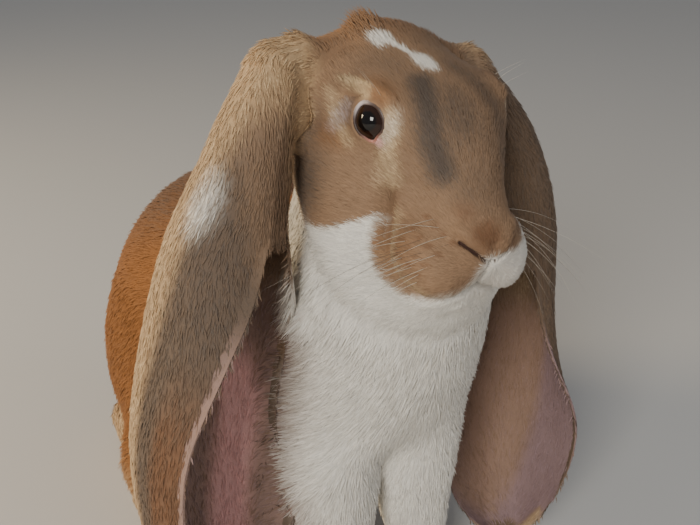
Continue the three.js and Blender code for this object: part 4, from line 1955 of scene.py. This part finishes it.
        # painted shade in the nostrils' and the mouth's grooves
        masks[Mark.DARK] = self.dark
        store_marks(mesh, masks, np.full(count, self.root_share), np.full(count, self.tuft_shade))
        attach(self.obj, BODY)
        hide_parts(*FLESH)

    def unwrap(self) -> None:
        """Unwraps the skin's own shape into the map OFBake."""
        mesh = self.obj.data
        mesh.uv_layers.new(name="OFBake")
        bpy.context.view_layer.objects.active = self.obj
        self.obj.select_set(True)
        bpy.ops.object.mode_set(mode="EDIT")
        bpy.ops.mesh.select_all(action="SELECT")
        bpy.ops.uv.smart_project(angle_limit=math.radians(66), island_margin=0.002)
        bpy.ops.object.mode_set(mode="OBJECT")
        self.obj.select_set(False)


def to_meshes(solids: Iterable[BMesh]) -> list[Mesh]:
    """Turns loose solids into meshes and frees them.

    Args:
        solids: the solids, used up.

    Returns:
        A mesh for each.
    """
    meshes = []
    for solid in solids:
        mesh = bpy.data.meshes.new("solid")
        solid.to_mesh(mesh)
        solid.free()
        meshes.append(mesh)
    return meshes


def store_marks(mesh: Mesh, masks: dict[Mark, Array], along: Array, shade: Array) -> None:
    """Stores the markings and the tufts' own values on a mesh.

    Args:
        mesh: the skin's mesh or a coat piece's.
        masks: the mask of each mark, for each vertex.
        along: 0 at a tuft's root and 1 at its tip.
        shade: each tuft's own random number.
    """
    for mark, mask in masks.items():
        set_values(mesh, mark.value, mask)
    set_values(mesh, "tuft_along", along)
    set_values(mesh, "tuft_shade", shade)


# The coat -----------------------------------------------------------------------------------


def everywhere(points: Array) -> Array:
    """1 for each point."""
    return np.ones(len(points))


def white_front(points: Array) -> Array:
    """1 on the throat and chest, 0 on the back."""
    return (points[:, 1] < -60).astype(float)


def back(points: Array) -> Array:
    """1 on the back, 0 on the throat and chest."""
    return 1 - white_front(points)


def face_first(points: Array) -> Array:
    """The most on the face, falling off towards the nape."""
    return 0.35 + ramp(-40, 10, HEAD.inside(points)[:, 0])


@dataclass(frozen=True)
class CoatPiece:
    """One piece of the coat: how many tufts it has and where they grow."""

    name: str
    tufts: int
    slot: Slot
    regions: tuple[Region, ...]
    side: int = 0  # the half of the body that it keeps to, or 0 for both
    thick: Callable[[Array], Array] = everywhere  # how thick it grows at each point
    middle: float = 10.0  # how far to the side the body's middle lies

    def density(self, points: Array, weights: Array) -> Array:
        """How thick the piece grows.

        Args:
            points: places in millimetres.
            weights: their shares in the regions.

        Returns:
            The density at each place.
        """
        dense = share(weights, *self.regions)
        if self.side:
            dense = dense * ((points[:, 0] - self.middle) * self.side > 0)
        return dense * self.thick(points)


TUFT_ALONG = (0.0, 0.5, 0.5, 0.5, 1.0)  # a tuft's vertices: root, two sides, ridge and tip
TUFT_FACES = np.array([[0, 3, 1], [0, 2, 3], [0, 1, 2], [4, 1, 3], [4, 3, 2], [4, 2, 1]])


@dataclass
class Coat:
    """The tufts over the skin, each a thin closed spindle that lies along the body."""

    skin: Skin
    markings: Markings
    seed: int = 7
    uv_patch: float = 0.003
    swirl: float = 9.0  # how much the tufts' ways differ, in degrees
    lengths: tuple[float, float] = (0.75, 1.2)  # the range of the tufts' lengths, as shares
    widths: tuple[float, float] = (0.75, 1.25)
    lifts: float = 4.0  # how much their lift differs, in degrees
    crest: tuple[float, float, float] = (-40, 40, -11)  # where hair stands up behind the crown
    crest_reach: tuple[float, float, float] = (8, 9, 7)
    sunk: float = 0.035  # how deep a tuft's root lies in the skin, as a share of its length
    bend: float = 0.45  # where a tuft is widest and bends back, as a share of its length
    thickness: float = 0.35  # as a share of its width
    even: float = 0.8  # how much its shading follows the skin's
    corners: Array = field(init=False)  # the skin's triangles
    uv: Array = field(init=False)  # their places on the map OFBake
    area: Array = field(init=False)

    def __post_init__(self) -> None:
        """Takes the skin's triangles into arrays."""
        mesh = self.skin.obj.data
        mesh.calc_loop_triangles()
        self.corners = values_of(mesh.loop_triangles, "vertices", 3, np.int32)
        loops = values_of(mesh.loop_triangles, "loops", 3, np.int32)
        self.uv = values_of(mesh.uv_layers["OFBake"].data, "uv", 2)[loops]
        self.area = values_of(mesh.loop_triangles, "area", 1)[:, 0].astype(float)

    def build(self, piece: CoatPiece, material: Material) -> Object:
        """Grows one piece of the coat.

        Args:
            piece: what to grow.
            material: its finish.

        Returns:
            The piece.
        """
        rng = np.random.default_rng([self.seed, sum(map(ord, piece.name))])
        skin = self.skin
        middles = skin.points[self.corners].mean(axis=1)
        density = piece.density(middles, skin.weights[self.corners].mean(axis=1))
        density = density * skin.furred[self.corners].min(axis=1)
        chance = self.area * density
        picked = rng.choice(len(chance), piece.tufts, p=chance / chance.sum())
        mix = rng.dirichlet((1, 1, 1), piece.tufts)
        corners = self.corners[picked]

        def at_roots(values: Array) -> Array:
            """The skin's values at the tufts' roots."""
            return (values[corners] * mix.reshape(-1, 3, *[1] * (values.ndim - 1))).sum(axis=1)

        roots, normals = at_roots(skin.points), unit(at_roots(skin.normals))
        weights, rim = at_roots(skin.weights), at_roots(skin.rim)
        uv = (self.uv[picked] * mix[:, :, None]).sum(axis=1)
        way = lie_of_coat(roots, normals, weights)
        turn = np.radians(rng.normal(0, self.swirl, piece.tufts))[:, None]
        across = np.cross(normals, way)
        way = unit(way * np.cos(turn) + across * np.sin(turn))
        length = lay_values(weights, lambda lay: lay.length) * rng.uniform(*self.lengths, piece.tufts)
        width = lay_values(weights, lambda lay: lay.width) * rng.uniform(*self.widths, piece.tufts)
        lift = lay_values(weights, lambda lay: lay.lift) + rng.normal(0, self.lifts, piece.tufts)
        short = at_roots(skin.short)
        length, width = length * short, width * (0.35 + 0.65 * short)
        crest = patch(HEAD.inside(roots), self.crest, self.crest_reach, 0.5)
        length, lift = length * (1 + 0.9 * crest), lift + 34 * crest
        points, faces = self.spindles(roots, normals, way, length, width, lift)
        mesh = mesh_from(piece.name, points, faces)
        self.map_tufts(mesh, faces, uv)
        masks = self.markings.masks(roots, normals, weights, rim)
        # painted shade in the nostrils' and the mouth's grooves, fainter on the tufts
        masks[Mark.DARK] = at_roots(skin.dark) * 0.6
        masks = {mark: np.repeat(mask, len(TUFT_ALONG)) for mark, mask in masks.items()}
        along = np.tile(TUFT_ALONG, piece.tufts)
        store_marks(mesh, masks, along, np.repeat(rng.random(piece.tufts), len(TUFT_ALONG)))
        self.soften(mesh, points, faces, normals)
        obj = new_object(piece.name, mesh)
        mesh.materials.append(material)
        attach(obj, BODY)
        log.info("%s: %d tufts", piece.name, piece.tufts)
        return obj

    def spindles(self, roots: Array, normals: Array, way: Array, length: Array,
                 width: Array, lift: Array) -> tuple[Array, Array]:
        """The tufts' vertices and faces.

        Args:
            roots: where they grow.
            normals: the skin's normals there.
            way: which way each lies.
            length: each one's length.
            width: each one's width.
            lift: the angle at which each leaves the skin, in degrees.

        Returns:
            The vertices, five a tuft, and the faces, six a tuft.
        """
        rise = np.radians(lift)[:, None]
        long = length[:, None]
        start = roots - normals * long * self.sunk
        first = way * np.cos(rise) + normals * np.sin(rise)
        second = way * np.cos(rise * self.bend) + normals * np.sin(rise * self.bend)
        middle = start + first * long * self.bend
        tip = middle + second * long * 0.6
        across = np.cross(normals, way) * width[:, None] / 2
        up = normals * width[:, None] * self.thickness
        points = np.stack([start, middle + across, middle - across, middle + up, tip], axis=1)
        faces = TUFT_FACES[None] + len(TUFT_ALONG) * np.arange(len(roots))[:, None, None]
        return points.reshape(-1, 3), faces.reshape(-1, 3)

    def map_tufts(self, mesh: Mesh, faces: Array, uv: Array) -> None:
        """Maps each tuft to a small patch at its root's place on the skin's map.

        Args:
            mesh: the piece's mesh.
            faces: its faces.
            uv: the roots' places on the map.
        """
        half = self.uv_patch / 2
        offsets = half * np.array([[-1, 0], [0, 1], [0, -1], [0.2, 0], [1, 0]])
        places = (uv[:, None] + offsets[None]).reshape(-1, 2)
        layer = mesh.uv_layers.new(name="OFBake")
        layer.data.foreach_set("uv", places[faces.ravel()].astype(np.float32).ravel())

    def soften(self, mesh: Mesh, points: Array, faces: Array, normals: Array) -> None:
        """Turns the tufts' shading normals towards the skin's, as fine hair scatters light.

        Args:
            mesh: the piece's mesh.
            points: its vertices.
            faces: its faces, six a tuft, the third and the sixth on the tuft's underside.
            normals: the skin's normals at the roots.
        """
        a, b, c = (points[faces[:, k]] for k in range(3))
        flat = unit(np.cross(b - a, c - a)).reshape(-1, len(TUFT_FACES), 3)
        smooth = normals_of(mesh)[faces].reshape(-1, len(TUFT_FACES), 3, 3)
        facing = np.array([1, 1, -1, 1, 1, -1])[None, :, None]
        lean = self.even * normals[:, None] * facing
        soft = 0.2 * flat[:, :, None] + 0.3 * smooth * (facing[..., None] > 0) + lean[:, :, None]
        mesh.normals_split_custom_set(unit(soft).reshape(-1, 3))


# The studio ---------------------------------------------------------------------------------


@dataclass(frozen=True)
class Lamp:
    """A soft square light that faces the rabbit."""

    name: str
    place: tuple[float, float, float]  # metres
    size: float  # its width in metres
    power: float  # watts
    colour: Colour
    aim: tuple[float, float, float] = (0.0, -0.06, 0.17)

    def build(self) -> None:
        """Hangs the light."""
        data = bpy.data.lights.new(self.name, "AREA")
        data.size = self.size
        data.energy = self.power
        data.color = self.colour
        obj = new_object(self.name, data)
        obj.location = self.place
        way = Vector(self.aim) - Vector(self.place)
        obj.rotation_euler = way.to_track_quat("-Z", "Y").to_euler()


@dataclass(frozen=True)
class Studio:
    """The floor, the lights and the camera."""

    azimuth: float = -33.0
    elevation: float = 25.0
    lens: float = 45.0  # millimetres
    film: float = 36.0
    aside: float = -26.0  # where the camera stands from the head's middle, in millimetres
    away: float = -359.0
    above: float = 115.0
    floor_reach: float = 2500.0
    floor_finish: PlainFinish = PlainFinish("pale_floor", (0.60, 0.59, 0.57), 0.8)
    sky: Colour = (0.86, 0.88, 0.92)
    sky_strength: float = 0.29
    lamps: tuple[Lamp, ...] = (
        Lamp("key", (-1.25, -1.05, 0.95), 0.6, 22, (1.0, 0.96, 0.88)),
        Lamp("fill", (1.1, -1.2, 0.8), 1.2, 3, (0.95, 0.97, 1.0)),
        Lamp("rim", (-1.1, 0.75, 0.7), 0.4, 15, (1.0, 0.80, 0.52)),
    )

    def camera(self) -> None:
        """Places the camera before the head."""
        a, e = math.radians(self.azimuth), math.radians(self.elevation)
        right = np.array([math.cos(a), math.sin(a), 0])
        away = np.array([-math.sin(a), math.cos(a), 0])
        place = HEAD.middle + self.aside * right + self.away * away + self.above * UP
        data = bpy.data.cameras.new("camera")
        data.lens = self.lens
        data.sensor_width = self.film
        data.clip_start = 0.01
        obj = new_object("camera", data)
        obj.location = place * MM
        look = Vector(away * math.cos(e) - UP * math.sin(e))
        obj.rotation_euler = look.to_track_quat("-Z", "Y").to_euler()
        bpy.context.scene.camera = obj

    def floor(self) -> None:
        """A pale floor."""
        points = self.floor_reach * np.array([[-1, -1, 0], [1, -1, 0], [1, 1, 0], [-1, 1, 0]])
        mesh = mesh_from("floor", points, np.array([[0, 1, 2, 3]]))
        mesh.materials.append(self.floor_finish.material())
        new_object("floor", mesh)

    def build(self) -> None:
        """Makes the whole studio."""
        self.floor()
        self.camera()
        for lamp in self.lamps:
            lamp.build()
        world = bpy.data.worlds.new("studio")
        bpy.context.scene.world = world
        world.use_nodes = True
        back = world.node_tree.nodes["Background"]
        back.inputs["Color"].default_value = (*self.sky, 1)
        back.inputs["Strength"].default_value = self.sky_strength


# The rabbit ---------------------------------------------------------------------------------


def coat_pieces() -> list[CoatPiece]:
    """The pieces of the coat.

    Returns:
        The pieces in the order in which they grow.
    """
    body, feet = (Region.NECK, Region.TRUNK), (Region.FORELEG, Region.FOREPAW, Region.HINDFOOT)
    pieces = []
    for (name, side), ear in zip(SIDES, EAR_REGIONS):
        pieces += [
            CoatPiece("coat_head_" + name, 33000, Slot.FAWN, (Region.HEAD,), side, face_first),
            CoatPiece("coat_ear_" + name, 33000, Slot.GREY, (ear,)),
            CoatPiece("coat_chest_" + name, 18500, Slot.WHITE, body, side, white_front),
            CoatPiece("coat_back_" + name, 17000, Slot.ORANGE, body, side, back),
            CoatPiece("coat_hindleg_" + name, 12000, Slot.ORANGE, (Region.HINDLEG,), side),
            CoatPiece("coat_feet_" + name, 9500, Slot.WHITE, feet, side),
        ]
    return [*pieces, CoatPiece("coat_tail", 3000, Slot.ORANGE, (Region.TAIL,))]


def main() -> None:
    """Builds the rabbit and its studio."""
    logging.basicConfig(level=logging.INFO, format="%(message)s")
    markings = Markings()
    skin = Skin(BodyMap())
    skin.build()
    group = coat_group()
    under = FurFinish("skin_under_coat", roughness=0.75, root_shade=0.15, bump=0.5)
    skin.dress(markings, under.material(group))
    coat = Coat(skin, markings)
    fur = FurFinish("coat_fur").material(group)
    for piece in coat_pieces():
        coat.build(piece, fur)
    wet, rims = EyeFinish().material(), LidFinish().material()
    for eye in EYES:
        eye.ball(wet)
        eye.lids(rims)
    Whiskers().build(skin)
    Claws().build(skin)
    Studio().build()


if __name__ == "__main__":
    main()
